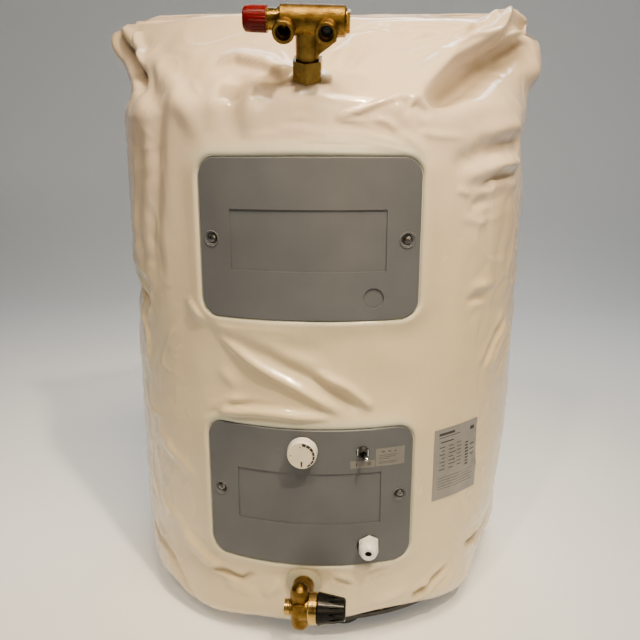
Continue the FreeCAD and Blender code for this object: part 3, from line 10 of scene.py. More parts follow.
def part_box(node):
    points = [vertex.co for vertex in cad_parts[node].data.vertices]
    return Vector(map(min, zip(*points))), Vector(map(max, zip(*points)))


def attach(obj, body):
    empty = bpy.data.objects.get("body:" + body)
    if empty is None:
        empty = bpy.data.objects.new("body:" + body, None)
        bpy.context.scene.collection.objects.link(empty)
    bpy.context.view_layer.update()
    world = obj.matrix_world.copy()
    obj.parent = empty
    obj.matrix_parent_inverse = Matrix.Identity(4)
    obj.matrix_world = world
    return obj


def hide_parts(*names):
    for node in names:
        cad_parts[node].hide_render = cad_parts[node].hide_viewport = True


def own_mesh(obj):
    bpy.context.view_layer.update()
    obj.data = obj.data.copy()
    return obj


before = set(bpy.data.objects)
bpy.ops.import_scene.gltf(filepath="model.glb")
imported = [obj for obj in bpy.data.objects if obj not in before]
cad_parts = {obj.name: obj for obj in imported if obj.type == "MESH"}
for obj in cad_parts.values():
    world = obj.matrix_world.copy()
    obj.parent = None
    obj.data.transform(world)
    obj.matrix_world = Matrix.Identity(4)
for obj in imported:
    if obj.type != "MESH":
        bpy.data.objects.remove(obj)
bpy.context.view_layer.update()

# Sizes in metres. X is right, Y is back, Z is up, and the tank's axis is the Z axis.
MM = 0.001
JACKET_RADIUS = 290 * MM
JACKET_BOTTOM = 22 * MM
TUCK_RADIUS = 40 * MM
TUCK_OPENING = 241 * MM
TUCK_STEPS = 8
SHOULDER = 694 * MM
SEAM_HEIGHT = 829 * MM
COVER_HALF_WIDTH = 129 * MM
COVER_HALF_HEIGHT = 92.5 * MM
COVER_CORNER = 22 * MM
UPPER_COVER_Z = 542 * MM
LOWER_COVER_Z = 221.5 * MM
COVER_HEIGHTS = (UPPER_COVER_Z, LOWER_COVER_Z)
COVER_FACE = 295.4 * MM
OUTLET_LEAN = Matrix.Rotation(math.radians(28), 3, "X")
OUTLET_TILT = Matrix.Rotation(math.radians(2.3), 3, "Y")
OUTLET_AXIS = np.array(OUTLET_TILT @ OUTLET_LEAN @ Vector((0, 0, 1)))
OUTLET_FOOT = np.array(Vector((0, -273 * MM, 717 * MM)))
DRAIN_X = -6 * MM
DRAIN_Z = 101 * MM

# Where the wandering of the folds and creases starts, so that each run gives the same film
WANDER_SEED = 1795785645
noise.seed_set(WANDER_SEED)

# Film rows as (height, half width, half depth) in millimetres, from the shoulder up to the seam
PILLOW_LEVELS = (
    (694, 290.0, 290.0),
    (734.8, 292.8, 236.8),
    (767.4, 304.3, 194.2),
    (796, 313.0, 157.0),
    (812, 299.0, 136.0),
    (820.5, 291.0, 72.5),
    (829, 284.0, 9.0),
    (831, 283.0, 1.2),
)


def rise(values, start, length):
    """How far values have come along a stretch, from 0 before it to 1 beyond it."""
    return np.clip((values - start) / length, 0, 1)


def linked(name, data, *materials):
    """An object for a mesh, a lamp or the camera, put into the scene."""
    for material in materials:
        data.materials.append(material)
    made = bpy.data.objects.new(name, data)
    bpy.context.scene.collection.objects.link(made)
    return made


# Camera and studio

CAMERA_PLACE = (0.0714, -1.0215, 0.632)
CAMERA_DOWN = math.radians(13.9)
CAMERA_TURN = math.radians(4.44)
FOCAL_SHARE = 650 / 640
SENSOR_WIDTH = 36

# Lamps as (name, place, aim, (width, depth), watts, colour, spread in degrees)
LAMPS = (
    ("ceiling_light", (0.32, -0.80, 2.2), (0, -0.12, 0.5), (0.7, 0.45), 8.9, (1.0, 0.78, 0.47), 80),
    ("front_light", (0.55, -2.4, 1.1), (0, 0, 0.4), (0.9, 0.9), 1.8, (1.0, 0.80, 0.50), 60),
    ("left_glint", (-0.45, -1.5, 2.4), (0, -0.2, 0.6), (0.12, 0.12), 1.2, (1.0, 0.80, 0.55), 40),
    ("right_glint", (0.75, -1.3, 2.3), (0, -0.2, 0.6), (0.12, 0.12), 3.2, (1.0, 0.80, 0.55), 40),
    ("back_light", (0.2, 2.6, 2.6), (0, 1.4, 0.2), (3.2, 1.6), 46, (0.90, 0.96, 1.0), 90),
    ("floor_light", (0.0, -2.2, 3.0), (0, -0.9, 0.0), (3.2, 1.2), 3, (0.90, 0.96, 1.0), 60),
)
WORLD_COLOUR = (1.0, 0.86, 0.64, 1)
WORLD_STRENGTH = 0.05


def make_camera():
    data = bpy.data.cameras.new("photo_camera")
    data.sensor_width = SENSOR_WIDTH
    data.lens = SENSOR_WIDTH * FOCAL_SHARE
    camera = linked("photo_camera", data)
    camera.location = CAMERA_PLACE
    camera.rotation_euler = (math.pi / 2 - CAMERA_DOWN, 0, CAMERA_TURN)
    bpy.context.scene.camera = camera


def make_studio():
    for name, place, aim, size, power, colour, spread in LAMPS:
        data = bpy.data.lights.new(name, "AREA")
        data.spread = math.radians(spread)
        data.shape = "RECTANGLE"
        data.size, data.size_y = size
        data.energy = power
        data.color = colour
        lamp = linked(name, data)
        lamp.location = place
        lamp.rotation_euler = (Vector(aim) - Vector(place)).to_track_quat("-Z", "Y").to_euler()
    world = bpy.data.worlds.new("studio")
    world.use_nodes = True
    background = world.node_tree.nodes["Background"]
    background.inputs["Color"].default_value = WORLD_COLOUR
    background.inputs["Strength"].default_value = WORLD_STRENGTH
    bpy.context.scene.world = world


# Procedural materials

EVEN = (1, 1, 1)
WANDER = (0.3, 0.7)  # the middle run of a noise, over which colour and roughness change
GLOSS_SCALE = 2.3  # how much finer the roughness wanders than the colour
NOISE_ROUGHNESS = 0.55


def add_node(tree, kind, links=(), values=(), **settings):
    """A shader node with its settings, and with constants and links for its inputs."""
    made = tree.nodes.new(kind)
    for key, value in settings.items():
        setattr(made, key, value)
    for key, value in dict(values).items():
        made.inputs[key].default_value = value
    for key, socket in dict(links).items():
        tree.links.new(socket, made.inputs[key])
    return made


def noise_of(tree, where, scale, detail=4, stretch=EVEN):
    mapping = add_node(tree, "ShaderNodeMapping", {"Vector": where}, {"Scale": stretch})
    return add_node(tree, "ShaderNodeTexNoise", {"Vector": mapping.outputs["Vector"]},
                    {"Scale": scale, "Detail": detail, "Roughness": NOISE_ROUGHNESS}).outputs["Fac"]


def mixed(tree, share, colours, colour, **settings):
    """The colours mixed with one other colour as far as a share says."""
    mix = add_node(tree, "ShaderNodeMix", {"Factor": share, "A": colours}, {"B": (*colour, 1)},
                   data_type="RGBA", **settings)
    return mix.outputs["Result"]


def tinted_below(tree, where, colours, high, low, tint):
    """The colours multiplied by a tint that comes in between two heights."""
    height = add_node(tree, "ShaderNodeSeparateXYZ", {"Vector": where}).outputs["Z"]
    share = add_node(tree, "ShaderNodeMapRange", {"Value": height}, {"From Min": high, "From Max": low},
                     interpolation_type="SMOOTHSTEP")
    return mixed(tree, share.outputs["Result"], colours, tint, blend_type="MULTIPLY")


def relief_over(tree, where, normal, scale, height, detail=2, stretch=EVEN):
    """A layer of fine relief over the layers before it, whose normal may be None."""
    links = {"Height": noise_of(tree, where, scale, detail, stretch)}
    if normal:
        links["Normal"] = normal
    return add_node(tree, "ShaderNodeBump", links, {"Strength": 1.0, "Distance": height}).outputs["Normal"]


def surface(name, dark, light, scale, rough, relief=(), more=()):
    """A material whose colour and roughness wander between two values, with layers of fine relief.
    more may hold below as (high, low, tint), blends as (mesh attribute, colour) pairs, and shader constants."""
    constants = dict(more)
    below = constants.pop("below", None)
    blends = constants.pop("blends", ())
    material = bpy.data.materials.new(name)
    material.use_nodes = True
    tree = material.node_tree
    shader = tree.nodes["Principled BSDF"]
    where = add_node(tree, "ShaderNodeTexCoord").outputs["Object"]
    ramp = add_node(tree, "ShaderNodeValToRGB", {"Fac": noise_of(tree, where, scale)})
    for stop, place, colour in zip(ramp.color_ramp.elements, WANDER, (dark, light)):
        stop.position = place
        stop.color = (*colour, 1)
    colours = ramp.outputs["Color"]
    if below:
        colours = tinted_below(tree, where, colours, *below)
    for attribute, colour in blends:
        share = add_node(tree, "ShaderNodeAttribute", attribute_name=attribute).outputs["Fac"]
        colours = mixed(tree, share, colours, colour)
    gloss = add_node(tree, "ShaderNodeMapRange", {"Value": noise_of(tree, where, scale * GLOSS_SCALE)},
                     {"From Min": WANDER[0], "From Max": WANDER[1], "To Min": rough[0], "To Max": rough[1]})
    normal = None
    for layer in relief:
        normal = relief_over(tree, where, normal, *layer)
    tree.links.new(colours, shader.inputs["Base Color"])
    tree.links.new(gloss.outputs["Result"], shader.inputs["Roughness"])
    if normal:
        tree.links.new(normal, shader.inputs["Normal"])
    for key, value in constants.items():
        shader.inputs[key].default_value = value
    return material


# Finishes by name, as dark colour, light colour, scale at which they wander, range of roughness,
# layers of relief, and more. A layer is (scale, height in metres, detail, stretch).
METAL = {"Metallic": 1.0}
FINISHES = {
    "jacket_film": ((0.67, 0.52, 0.37), (0.78, 0.635, 0.485), 3.5, (0.17, 0.30),
        ((26, 0.0012, 3, (1, 1, 0.45)), (140, 0.00022, 3, (1, 1, 0.3))),
        {"below": (0.66, 0.40, (0.95, 0.98, 0.86)),
         # The second blend is painted shade: the film goes darker and browner where its folds sink it
         "blends": (("rim", (0.50, 0.51, 0.41)), ("painted_fold_shade", (0.33, 0.255, 0.175))),
         "Coat Weight": 0.35, "Coat Roughness": 0.05, "Specular IOR Level": 0.4}),
    "film_seam": ((0.62, 0.54, 0.45), (0.76, 0.69, 0.60), 12, (0.25, 0.4),
        ((240, 0.0004, 2, (0.3, 1, 1)), (60, 0.0008, 3)),
        {"Coat Weight": 0.3, "Coat Roughness": 0.1}),
    "cover_plastic": ((0.083, 0.088, 0.100), (0.101, 0.107, 0.120), 14, (0.36, 0.48),
        ((900, 6e-5), (120, 8e-5, 3)), {"Specular IOR Level": 0.34}),
    "frame_plastic": ((0.52, 0.50, 0.40), (0.62, 0.60, 0.49), 20, (0.35, 0.5), ((600, 8e-5),)),
    "knob_plastic": ((0.70, 0.68, 0.61), (0.78, 0.76, 0.69), 40, (0.28, 0.4), ((900, 4e-5),)),
    "face_plastic": ((0.60, 0.54, 0.42), (0.68, 0.62, 0.50), 60, (0.35, 0.45), ((900, 3e-5),)),
    "white_plastic": ((0.78, 0.77, 0.74), (0.86, 0.85, 0.82), 40, (0.3, 0.42), ((800, 4e-5),)),
    "collar_plastic": ((0.34, 0.295, 0.20), (0.42, 0.37, 0.26), 50, (0.3, 0.45), ((500, 8e-5),),
        {"Subsurface Weight": 0.15}),
    "dark_plastic": ((0.012, 0.012, 0.013), (0.030, 0.029, 0.028), 35, (0.32, 0.5), ((700, 6e-5),)),
    "knob_black": ((0.003, 0.003, 0.003), (0.007, 0.007, 0.007), 60, (0.2, 0.34), ((300, 2e-5),),
        {"Specular IOR Level": 0.1, "Coat Weight": 0.04, "Coat Roughness": 0.08}),
    "cap_red": ((0.075, 0.0001, 0.0003), (0.11, 0.0002, 0.0005), 40, (0.24, 0.36), ((260, 3e-5),),
        {"Specular IOR Level": 0.15, "Coat Weight": 0.06, "Coat Roughness": 0.12}),
    "seal_rubber": ((0.015, 0.015, 0.015), (0.035, 0.034, 0.033), 60, (0.6, 0.8), ((500, 0.0001, 3),)),
    "cast_brass": ((0.105, 0.057, 0.009), (0.25, 0.150, 0.032), 75, (0.26, 0.46),
        ((420, 0.00035, 4), (110, 0.0004, 3)), METAL),
    "bright_brass": ((0.155, 0.086, 0.014), (0.30, 0.180, 0.040), 45, (0.16, 0.34), ((500, 5e-5),), METAL),
    "screw_steel": ((0.13, 0.125, 0.12), (0.30, 0.29, 0.28), 300, (0.22, 0.4), ((800, 0.0001, 3),), METAL),
    "polished_brass": ((0.42, 0.27, 0.075), (0.60, 0.40, 0.13), 45, (0.14, 0.28), ((500, 5e-5),), METAL),
    "chrome": ((0.52, 0.52, 0.54), (0.80, 0.80, 0.82), 200, (0.08, 0.22), ((900, 3e-5),), METAL),
    "stainless": ((0.42, 0.41, 0.40), (0.62, 0.61, 0.60), 60, (0.22, 0.38),
        ((700, 4e-5, 2, (1, 1, 0.1)),), METAL),
    "painted_steel": ((0.010, 0.010, 0.011), (0.030, 0.030, 0.031), 30, (0.35, 0.6), ((400, 0.0001, 3),)),
    "copper": ((0.48, 0.19, 0.10), (0.66, 0.33, 0.20), 50, (0.2, 0.4), ((500, 5e-5),), METAL),
    "pale_floor": ((0.86, 0.87, 0.88), (0.90, 0.91, 0.92), 2, (0.6, 0.75), ((300, 0.0001),),
        {"Emission Color": (0.95, 0.98, 1.0, 1), "Emission Strength": 0.14}),
    "plate_light": ((0.135, 0.133, 0.126), (0.175, 0.172, 0.164), 40, (0.35, 0.5), ((500, 4e-5),)),
    "print_grey": ((0.012, 0.012, 0.012), (0.03, 0.03, 0.03), 200, (0.4, 0.6)),
    "print_ink": ((0.012, 0.012, 0.013), (0.03, 0.03, 0.03), 200, (0.4, 0.55)),
    "plate_silver": ((0.24, 0.23, 0.215), (0.32, 0.305, 0.29), 22, (0.26, 0.42), ((300, 6e-5),),
        {"Metallic": 0.5}),
}
finish = {name: surface(name, *row) for name, row in FINISHES.items()}

NODE_FINISHES = {
    "painted_steel": "base_plate",
    "dark_plastic": "feet terminal_block thermal_cutout thermostat_body toggle_switch_body check_valve_poppet",
    "stainless": "tank_legs inner_tank thermostat_spindle safety_spring mixing_return_spring",
    "white_plastic": "cold_dip_tube gland_body gland_dome_nut gland_locknut mixing_piston",
    "bright_brass": "drain_stub hot_outlet_stub element_flange safety_disc mixing_headwork mixing_spindle"
                    " mixing_end_plug union_nut",
    "seal_rubber": "element_gasket gland_seal union_gasket",
    "chrome": "flange_bolts toggle_switch_nut toggle_lever upper_cover_screws lower_cover_screws",
    "copper": "heating_elements sensor_pocket wax_element",
    "cover_plastic": "upper_cover lower_cover",
    "frame_plastic": "upper_cover_frame lower_cover_frame",
    "knob_plastic": "thermostat_knob",
    "collar_plastic": "pipe_collar",
    "cast_brass": "safety_valve_body mixing_valve_body",
    "polished_brass": "safety_bonnet safety_side_plug",
    "knob_black": "safety_knob check_valve_cage",
    "cap_red": "mixing_cap",
}


def finish_nodes():
    for name, nodes in NODE_FINISHES.items():
        for node in nodes.split():
            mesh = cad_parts[node].data
            mesh.materials.clear()
            mesh.materials.append(finish[name])


# The jacket's form, by angle round the tank from its front and by way up the film. The way is the
# height on the film's straight side, and the length along the film above and below it.

ROUNDED_BELOW_SHOULDER = 0.03
ROUNDING_REACH = 0.020
ROUNDING_SHARPNESS = 2.2


def film_rows():
    """Rows of the film as arrays: way along the film, height, half width and half depth."""
    rows = [(JACKET_BOTTOM, TUCK_OPENING, TUCK_OPENING)]
    for step in range(TUCK_STEPS + 1):
        angle = math.pi / 2 * step / TUCK_STEPS
        radius = JACKET_RADIUS - TUCK_RADIUS * (1 - math.sin(angle))
        rows.append((JACKET_BOTTOM + TUCK_RADIUS * (1 - math.cos(angle)), radius, radius))
    rows += [(height * MM, reach * MM, depth * MM) for height, reach, depth in PILLOW_LEVELS]
    ways = [0.0]
    for before, row in zip(rows, rows[1:]):
        ways.append(ways[-1] + math.hypot(row[0] - before[0], row[2] - before[2]))
    heights, reaches, depths = np.array(rows).T
    side = slice(1, TUCK_STEPS + 3)
    return np.array(ways) - np.interp(SHOULDER, heights[side], ways[side]) + SHOULDER, heights, reaches, depths


ROW_WAYS, ROW_HEIGHTS, ROW_REACHES, ROW_DEPTHS = film_rows()
TUCK_TOP, FILM_TOP = ROW_WAYS[TUCK_STEPS + 1], ROW_WAYS[-1]


def smoothed(ways, values):
    """Row values at any way, with the corners between rows rounded over above the shoulder."""
    reach = np.clip(FILM_TOP - ways, 0, ROUNDING_REACH) * (ways > SHOULDER - ROUNDED_BELOW_SHOULDER)
    offsets = np.linspace(-1, 1, 9)
    weights = np.exp(-ROUNDING_SHARPNESS * offsets ** 2)
    total = np.zeros_like(ways)
    for offset, weight in zip(offsets, weights):
        total += weight * np.interp(ways + offset * reach, ROW_WAYS, values)
    return total / weights.sum()


def form_points(angles, ways):
    """Points of the plain jacket form at angles in degrees and ways in metres."""
    heights, reaches, depths = (smoothed(ways, rows) for rows in (ROW_HEIGHTS, ROW_REACHES, ROW_DEPTHS))
    turned = (angles + 180) % 360 - 180
    back = np.abs(turned) > 90
    share = np.where(back, 180 - np.abs(turned), np.abs(turned)) / 90
    radius = (reaches ** 2 + depths ** 2) / (2 * depths)
    swing = share * np.arctan2(reaches, radius - depths)
    y = radius * np.cos(swing) - (radius - depths)
    return np.stack([np.sign(turned) * radius * np.sin(swing), np.where(back, y, -y), heights], axis=-1)


def form_normals(angles, ways, step_angle=0.4, step_way=0.002):
    across = form_points(angles + step_angle, ways) - form_points(angles - step_angle, ways)
    along = form_points(angles, np.minimum(ways + step_way, FILM_TOP)) - form_points(angles, ways - step_way)
    normals = np.cross(across, along)
    return normals / np.maximum(np.linalg.norm(normals, axis=-1, keepdims=True), 1e-12)


# Rims round the covers

RIM_OFFSETS = np.array([0.3, 1.0, 2.2, 3.6, 5.2, 7.0, 9.0, 11.0, 13.0, 15.5, 18.5, 22.0, 26.0]) * MM
RIM_LIFT_AT = np.array([-50, 0.3, 1.0, 2.2, 3.6, 5.2, 7.0, 9.0, 11.5, 14.5, 18.0, 22.0, 28, 35, 45]) * MM
RIM_LIFTS = np.array([2.6, 2.9, 4.0, 4.9, 5.4, 5.5, 5.2, 4.7, 4.1, 3.3, 2.4, 1.6, 0.8, 0.4, 0.0]) * MM
RIM_SHOWS_ABOVE = (26 * MM, 17 * MM)
RIM_SHOWS_BELOW = 8 * MM


def cover_distance(x, z, centre):
    """Distance in the XZ plane outside a cover's outline, negative inside it."""
    far_x = np.abs(x) - (COVER_HALF_WIDTH - COVER_CORNER)
    far_z = np.abs(z - centre) - (COVER_HALF_HEIGHT - COVER_CORNER)
    outside = np.hypot(np.maximum(far_x, 0), np.maximum(far_z, 0))
    return outside + np.minimum(np.maximum(far_x, far_z), 0) - COVER_CORNER


def rim_shares(points):
    """How far each point of the film shows the pale frame through it, wide over a cover and narrow round it."""
    shares = np.zeros(len(points))
    for centre, above in zip(COVER_HEIGHTS, RIM_SHOWS_ABOVE):
        distance = cover_distance(points[:, 0], points[:, 2], centre)
        up = rise(points[:, 2] - centre - COVER_HALF_HEIGHT, -10 * MM, 12 * MM)
        width = RIM_SHOWS_BELOW + (above - RIM_SHOWS_BELOW) * up
        share = (1 - rise(distance, 2 * MM, width)) ** 1.5 * (0.75 + 0.25 * up)
        shares = np.where(points[:, 1] < 0, np.maximum(shares, share), shares)
    return shares


# Folds as (kind, width, height, taper at the start, taper at the end, points along it). Widths and
# heights are in millimetres, and a height below nothing sinks. Tapers are shares of the fold's length.
# Points are (angle in degrees, way up the film in millimetres). A lap is steep on its right side as it runs.

RIDGE, GROOVE, LAP = "ridge", "groove", "lap"
FOLDS = (
    # between the covers
    (RIDGE, 5, 7, 0.3, 0.15, (-23, 426), (-12, 391), (-2, 365), (8, 336)),  # main diagonal
    (GROOVE, 8, 3.5, 0.3, 0.1, (-17, 414), (-10, 405), (2, 375), (12, 339)),
    (RIDGE, 4.5, 6.5, 0.4, 0.15, (1, 388), (9, 368), (16, 338)),  # second diagonal
    (RIDGE, 5, 4, 0.4, 0.4, (-32, 464), (-29, 453), (-26, 439)),
    (RIDGE, 10, 3, 0.2, 0.6, (-24, 439), (-10, 420), (0, 412)),
    (RIDGE, 8, 3, 0.5, 0.5, (-23, 383), (-20, 371), (-17, 359)),
    (RIDGE, 5, 8, 0.3, 0.3, (-24, 327), (-13, 334), (-2, 331), (6, 330)),  # crest on the lower rim
    (GROOVE, 4.5, 3, 0.3, 0.5, (-28, 315), (-20, 336), (-14, 340), (-7, 338)),
    (RIDGE, 6, 3, 0.4, 0.5, (-24, 322), (-19, 344), (-14, 348)),
    (GROOVE, 9, 2, 0.4, 0.5, (-19, 427), (-6, 416), (6, 411)),
    (RIDGE, 22, 2.5, 0.5, 0.5, (9, 420), (18, 409), (28, 379)),
    # left side
    (RIDGE, 14, 6.5, 0.15, 0.35, (-64, 825), (-50, 778), (-36, 726), (-26, 663), (-24, 644)),
    (GROOVE, 15, 4, 0.2, 0.4, (-56, 776), (-40, 690), (-41, 631), (-44, 544), (-44, 458)),  # left valley
    (RIDGE, 12, 3, 0.3, 0.3, (-53, 643), (-57, 578), (-56, 512), (-54, 458)),
    (GROOVE, 7, 4, 0.1, 0.6, (-60, 462), (-53, 450), (-47, 436)),  # left notch
    (RIDGE, 8, 5, 0.2, 0.6, (-58, 440), (-54, 401), (-53, 342)),
    (RIDGE, 3, 1.8, 0.5, 0.5, (-42, 396), (-40, 410), (-37, 423)),
    # top left
    (LAP, 12, 12, 0.35, 0.1, (-26, 766), (-20, 775), (-12, 759), (-5, 727)),  # dimple crest
    (GROOVE, 13, 6, 0.2, 0.6, (-18, 751), (-17, 706), (-18, 658)),  # dimple floor
    (RIDGE, 12, 4, 0.3, 0.5, (-12, 730), (-12, 684), (-14, 652)),
    (RIDGE, 2.5, 2, 0.5, 0.5, (-10, 798), (-8, 786), (-6, 762)),
    (RIDGE, 2.5, 1.6, 0.5, 0.5, (-14, 786), (-11, 776), (-9, 763)),
    (GROOVE, 9, 12, 0.05, 0.4, (-90, 876), (-78, 839), (-64, 782), (-52, 723)),  # ear valley
    (RIDGE, 5, 8, 0.1, 0.3, (-74, 877), (-65, 828), (-58, 773)),  # ear edge
    (LAP, 3, 1.5, 0.4, 0.4, (-32, 738), (-29, 720), (-26, 705)),
    (RIDGE, 24, 4, 0.4, 0.5, (-53, 834), (-33, 782), (-19, 685)),
    # top right
    (LAP, 15, 17, 0.3, 0.1, (23, 696), (30, 733), (39, 779), (57, 836), (90, 972)),  # great diagonal
    (RIDGE, 18, -21, 0.25, 0.1, (25, 684), (35, 722), (52, 778), (82, 846)),  # great valley
    (RIDGE, 2.4, 4.5, 0.2, 0.1, (38, 779), (41, 795), (46, 814), (57, 839), (89, 960)),
    (RIDGE, 2.2, 3.6, 0.4, 0.1, (52, 815), (60, 843), (83, 893)),
    (GROOVE, 3.5, 5, 0.1, 0.3, (88, 1023), (67, 888), (51, 850), (42, 813)),  # crumple valley
    (RIDGE, 2.2, 4.2, 0.2, 0.3, (52, 860), (41, 836), (26, 789)),
    (RIDGE, 2.3, 3.6, 0.3, 0.3, (23, 849), (34, 856), (45, 859), (52, 851)),
    (RIDGE, 2.4, 4.2, 0.4, 0.4, (25, 817), (32, 833), (38, 845)),
    (RIDGE, 2.3, 4, 0.2, 0.4, (26, 788), (37, 809), (44, 819)),
    (RIDGE, 2.4, 3.8, 0.4, 0.4, (24, 830), (30, 840), (35, 832)),
    (GROOVE, 2.6, 3.4, 0.1, 0.2, (11, 842), (19, 855), (29, 861), (46, 866), (55, 860)),
    (RIDGE, 2.4, 2, 0.2, 0.5, (11, 835), (17, 843), (23, 837)),
    (RIDGE, 7, 3.5, 0.3, 0.4, (6, 757), (9, 796), (12, 821), (22, 842)),
    (GROOVE, 8, 3, 0.4, 0.5, (8, 744), (12, 783), (16, 810)),
    (RIDGE, 2.3, 4.2, 0.1, 0.25, (22, 702), (16, 692), (11, 682), (6, 676)),  # star line long
    (RIDGE, 2.2, 2.2, 0.3, 0.4, (6, 674), (9, 673), (14, 670)),
    (RIDGE, 3.4, 3, 0.4, 0.3, (14, 675), (18, 670), (20, 661)),
    (GROOVE, 7, 4, 0.1, 0.5, (22, 700), (24, 679), (26, 660)),
    (GROOVE, 8, 6, 0.2, 0.5, (24, 696), (26, 687), (28, 677)),
    (RIDGE, 4, 2, 0.3, 0.5, (25, 661), (31, 657), (38, 660)),
    (RIDGE, 5, 3, 0.4, 0.4, (20, 661), (24, 650), (26, 631)),
    (RIDGE, 2.2, 2.4, 0.4, 0.2, (-14, 657), (0, 659), (14, 655), (23, 645)),  # streak above the upper rim
    (RIDGE, 1.8, 2.2, 0.4, 0.2, (-2, 651), (12, 650), (20, 643), (25, 632)),
    (RIDGE, 1.6, 1.8, 0.4, 0.2, (6, 645), (15, 644), (22, 638), (26, 628)),
    (RIDGE, 1.8, 1.3, 0.3, 0.3, (-7, 664), (1, 664)),
    (RIDGE, 1.8, 1.0, 0.4, 0.4, (-4, 674), (1, 674)),
    # right side
    (GROOVE, 12, 5, 0.35, 0.1, (34, 623), (44, 642), (65, 653)),  # right valley
    (RIDGE, 9, 5, 0.35, 0.1, (38, 610), (48, 624), (64, 629)),  # right crest
    (GROOVE, 7, 4.5, 0.3, 0.1, (44, 597), (49, 612), (64, 615)),
    (RIDGE, 14, 3.5, 0.4, 0.1, (40, 657), (49, 668), (67, 677)),
    (RIDGE, 1.6, 1.2, 0.1, 0.3, (49, 602), (50, 553), (50, 517)),  # upright line
    (RIDGE, 1.6, 1.0, 0.2, 0.3, (46, 433), (47, 377), (48, 321)),
    (RIDGE, 3.5, 2.4, 0.4, 0.4, (36, 594), (38, 593), (41, 588)),
    (GROOVE, 6, 2.4, 0.4, 0.3, (41, 575), (44, 580), (48, 585)),
    (RIDGE, 5, 2.4, 0.4, 0.4, (38, 566), (42, 560), (48, 555)),
    (RIDGE, 6, 2.6, 0.4, 0.4, (43, 477), (48, 477), (55, 477)),
    (GROOVE, 6, 2.4, 0.4, 0.4, (41, 459), (45, 463), (50, 465)),
    (GROOVE, 6, 3.2, 0.3, 0.2, (49, 363), (56, 401), (63, 423)),
    (GROOVE, 5, 2.6, 0.2, 0.3, (58, 339), (68, 381), (70, 411)),
    (RIDGE, 6, 2.6, 0.3, 0.3, (54, 353), (60, 388), (66, 410)),
    # lower left
    (RIDGE, 9, 3.2, 0.4, 0.3, (-50, 265), (-39, 235), (-31, 216)),
    (RIDGE, 8, 3.2, 0.4, 0.4, (-52, 161), (-44, 148), (-36, 135)),
    (GROOVE, 6, 4, 0.2, 0.2, (-61, 93), (-48, 82), (-40, 59), (-34, 32)),
    (RIDGE, 8, 6, 0.35, 0.15, (-40, 136), (-34, 114), (-29, 104), (-24, 101)),
    (GROOVE, 4, 5, 0.2, 0.3, (-28, 95), (-22, 95), (-18, 92), (-14, 107)),
    (RIDGE, 8, 4, 0.4, 0.3, (-24, 81), (-20, 77), (-14, 76)),
    (RIDGE, 7, 5, 0.3, 0.3, (-12, 72), (-9, 88), (-6, 104)),  # crest to the collar
    (GROOVE, 3.4, 3.4, 0.3, 0.3, (6, 109), (8, 104), (11, 97)),
    (RIDGE, 4, 2, 0.4, 0.4, (5, 115), (9, 111), (14, 100)),
    # lower right
    (GROOVE, 5, 6, 0.1, 0.4, (28, 62), (32, 70), (35, 80), (40, 92)),  # right low pinch
    (RIDGE, 6, 5, 0.2, 0.4, (36, 53), (40, 66), (43, 77)),
    (RIDGE, 4, 4, 0.4, 0.4, (30, 77), (32, 80), (34, 73)),
    (RIDGE, 6, 4, 0.3, 0.3, (16, 65), (20, 70), (27, 76)),
    (GROOVE, 6, 7, 0.5, 0.05, (46, 104), (52, 105), (61, 95)),  # side notch
    (GROOVE, 3, 2.4, 0.3, 0.3, (14, 113), (16, 115), (20, 119)),
)
ARC_PER_DEGREE = 5.06  # millimetres round the body
LONGEST_RUN = 12.0
CALM_HEIGHT = 4.5

# Stretches over which the film gets looser, as (start, length), and the sizes of its noises in metres
FRONT_TO_SIDE = (0.13, 0.06)
BESIDE, OVER, BEHIND = (0.165, 0.06), (0.71, 0.05), (0, 0.1)
DRIFT, FINE_DRIFT, SWELL_SHARE = 0.0042, 0.0014, 0.55
WAVE, FINE_WAVE = 0.0016, 0.0005
CREASE, FACET, CREASE_BEND = 0.0021, 0.0022, 0.035

# How far from a cover, from the drain and from the top edge the film is free to move
FREE_OF_COVER, FREE_OF_DRAIN, FREE_OF_TOP = (0.003, 0.010), (0.022, 0.016), (0, 0.03)

# Mounds and dimple of the film at the fittings, as (height, spread)
STUB_MOUND, WIDE_MOUND, DRAIN_DIMPLE = (0.009, 0.024), (0.002, 0.05), (0.0035, 0.026)


def fold_profile(kind, distance, width):
    if kind == RIDGE:
        return np.exp(-(distance / width) ** 2)
    if kind == GROOVE:
        shoulders = np.exp(-((np.abs(distance) - 1.7 * width) / width) ** 2)
        return -np.exp(-(distance / width) ** 2) + 0.45 * shoulders
    gentle = np.exp(-(distance / (1.6 * width)) ** 2)
    steep = np.exp(-(distance / (0.4 * width)) ** 2)
    return np.where(distance > 0, gentle, steep)


def fold_line(path):
    """Points of the plain form along a fold, close enough that its runs follow the round form."""
    dense = []
    for (angle0, way0), (angle1, way1) in zip(path, path[1:]):
        span = math.hypot((angle1 - angle0) * ARC_PER_DEGREE, way1 - way0)
        count = max(1, math.ceil(span / LONGEST_RUN))
        for share in (i / count for i in range(count)):
            dense.append((angle0 + share * (angle1 - angle0), way0 + share * (way1 - way0)))
    dense = np.array(dense + [path[-1]])
    return form_points(dense[:, 0], dense[:, 1] * MM)


def points_near(points, line, reach):
    """Indices of the points inside the box round a line, widened by a reach."""
    return np.nonzero(np.all((points > line.min(0) - reach) & (points < line.max(0) + reach), axis=1))[0]


def fold_drift(points):
    """Small wandering of the folds' lines, and the share by which each place raises or lowers them.
    The front keeps straighter lines than the sides."""
    loose = 0.25 + 0.75 * rise(np.abs(points[:, 0]), *FRONT_TO_SIDE)
    drift = np.empty((len(points), 3))
    swell = np.empty(len(points))
    for i, point in enumerate(points):
        place = Vector(point)
        wander = DRIFT * noise.noise_vector(place * 17) + FINE_DRIFT * noise.noise_vector(place * 55)
        drift[i] = loose[i] * wander
        swell[i] = 1 + loose[i] * SWELL_SHARE * noise.noise(place * 26)
    return drift, swell


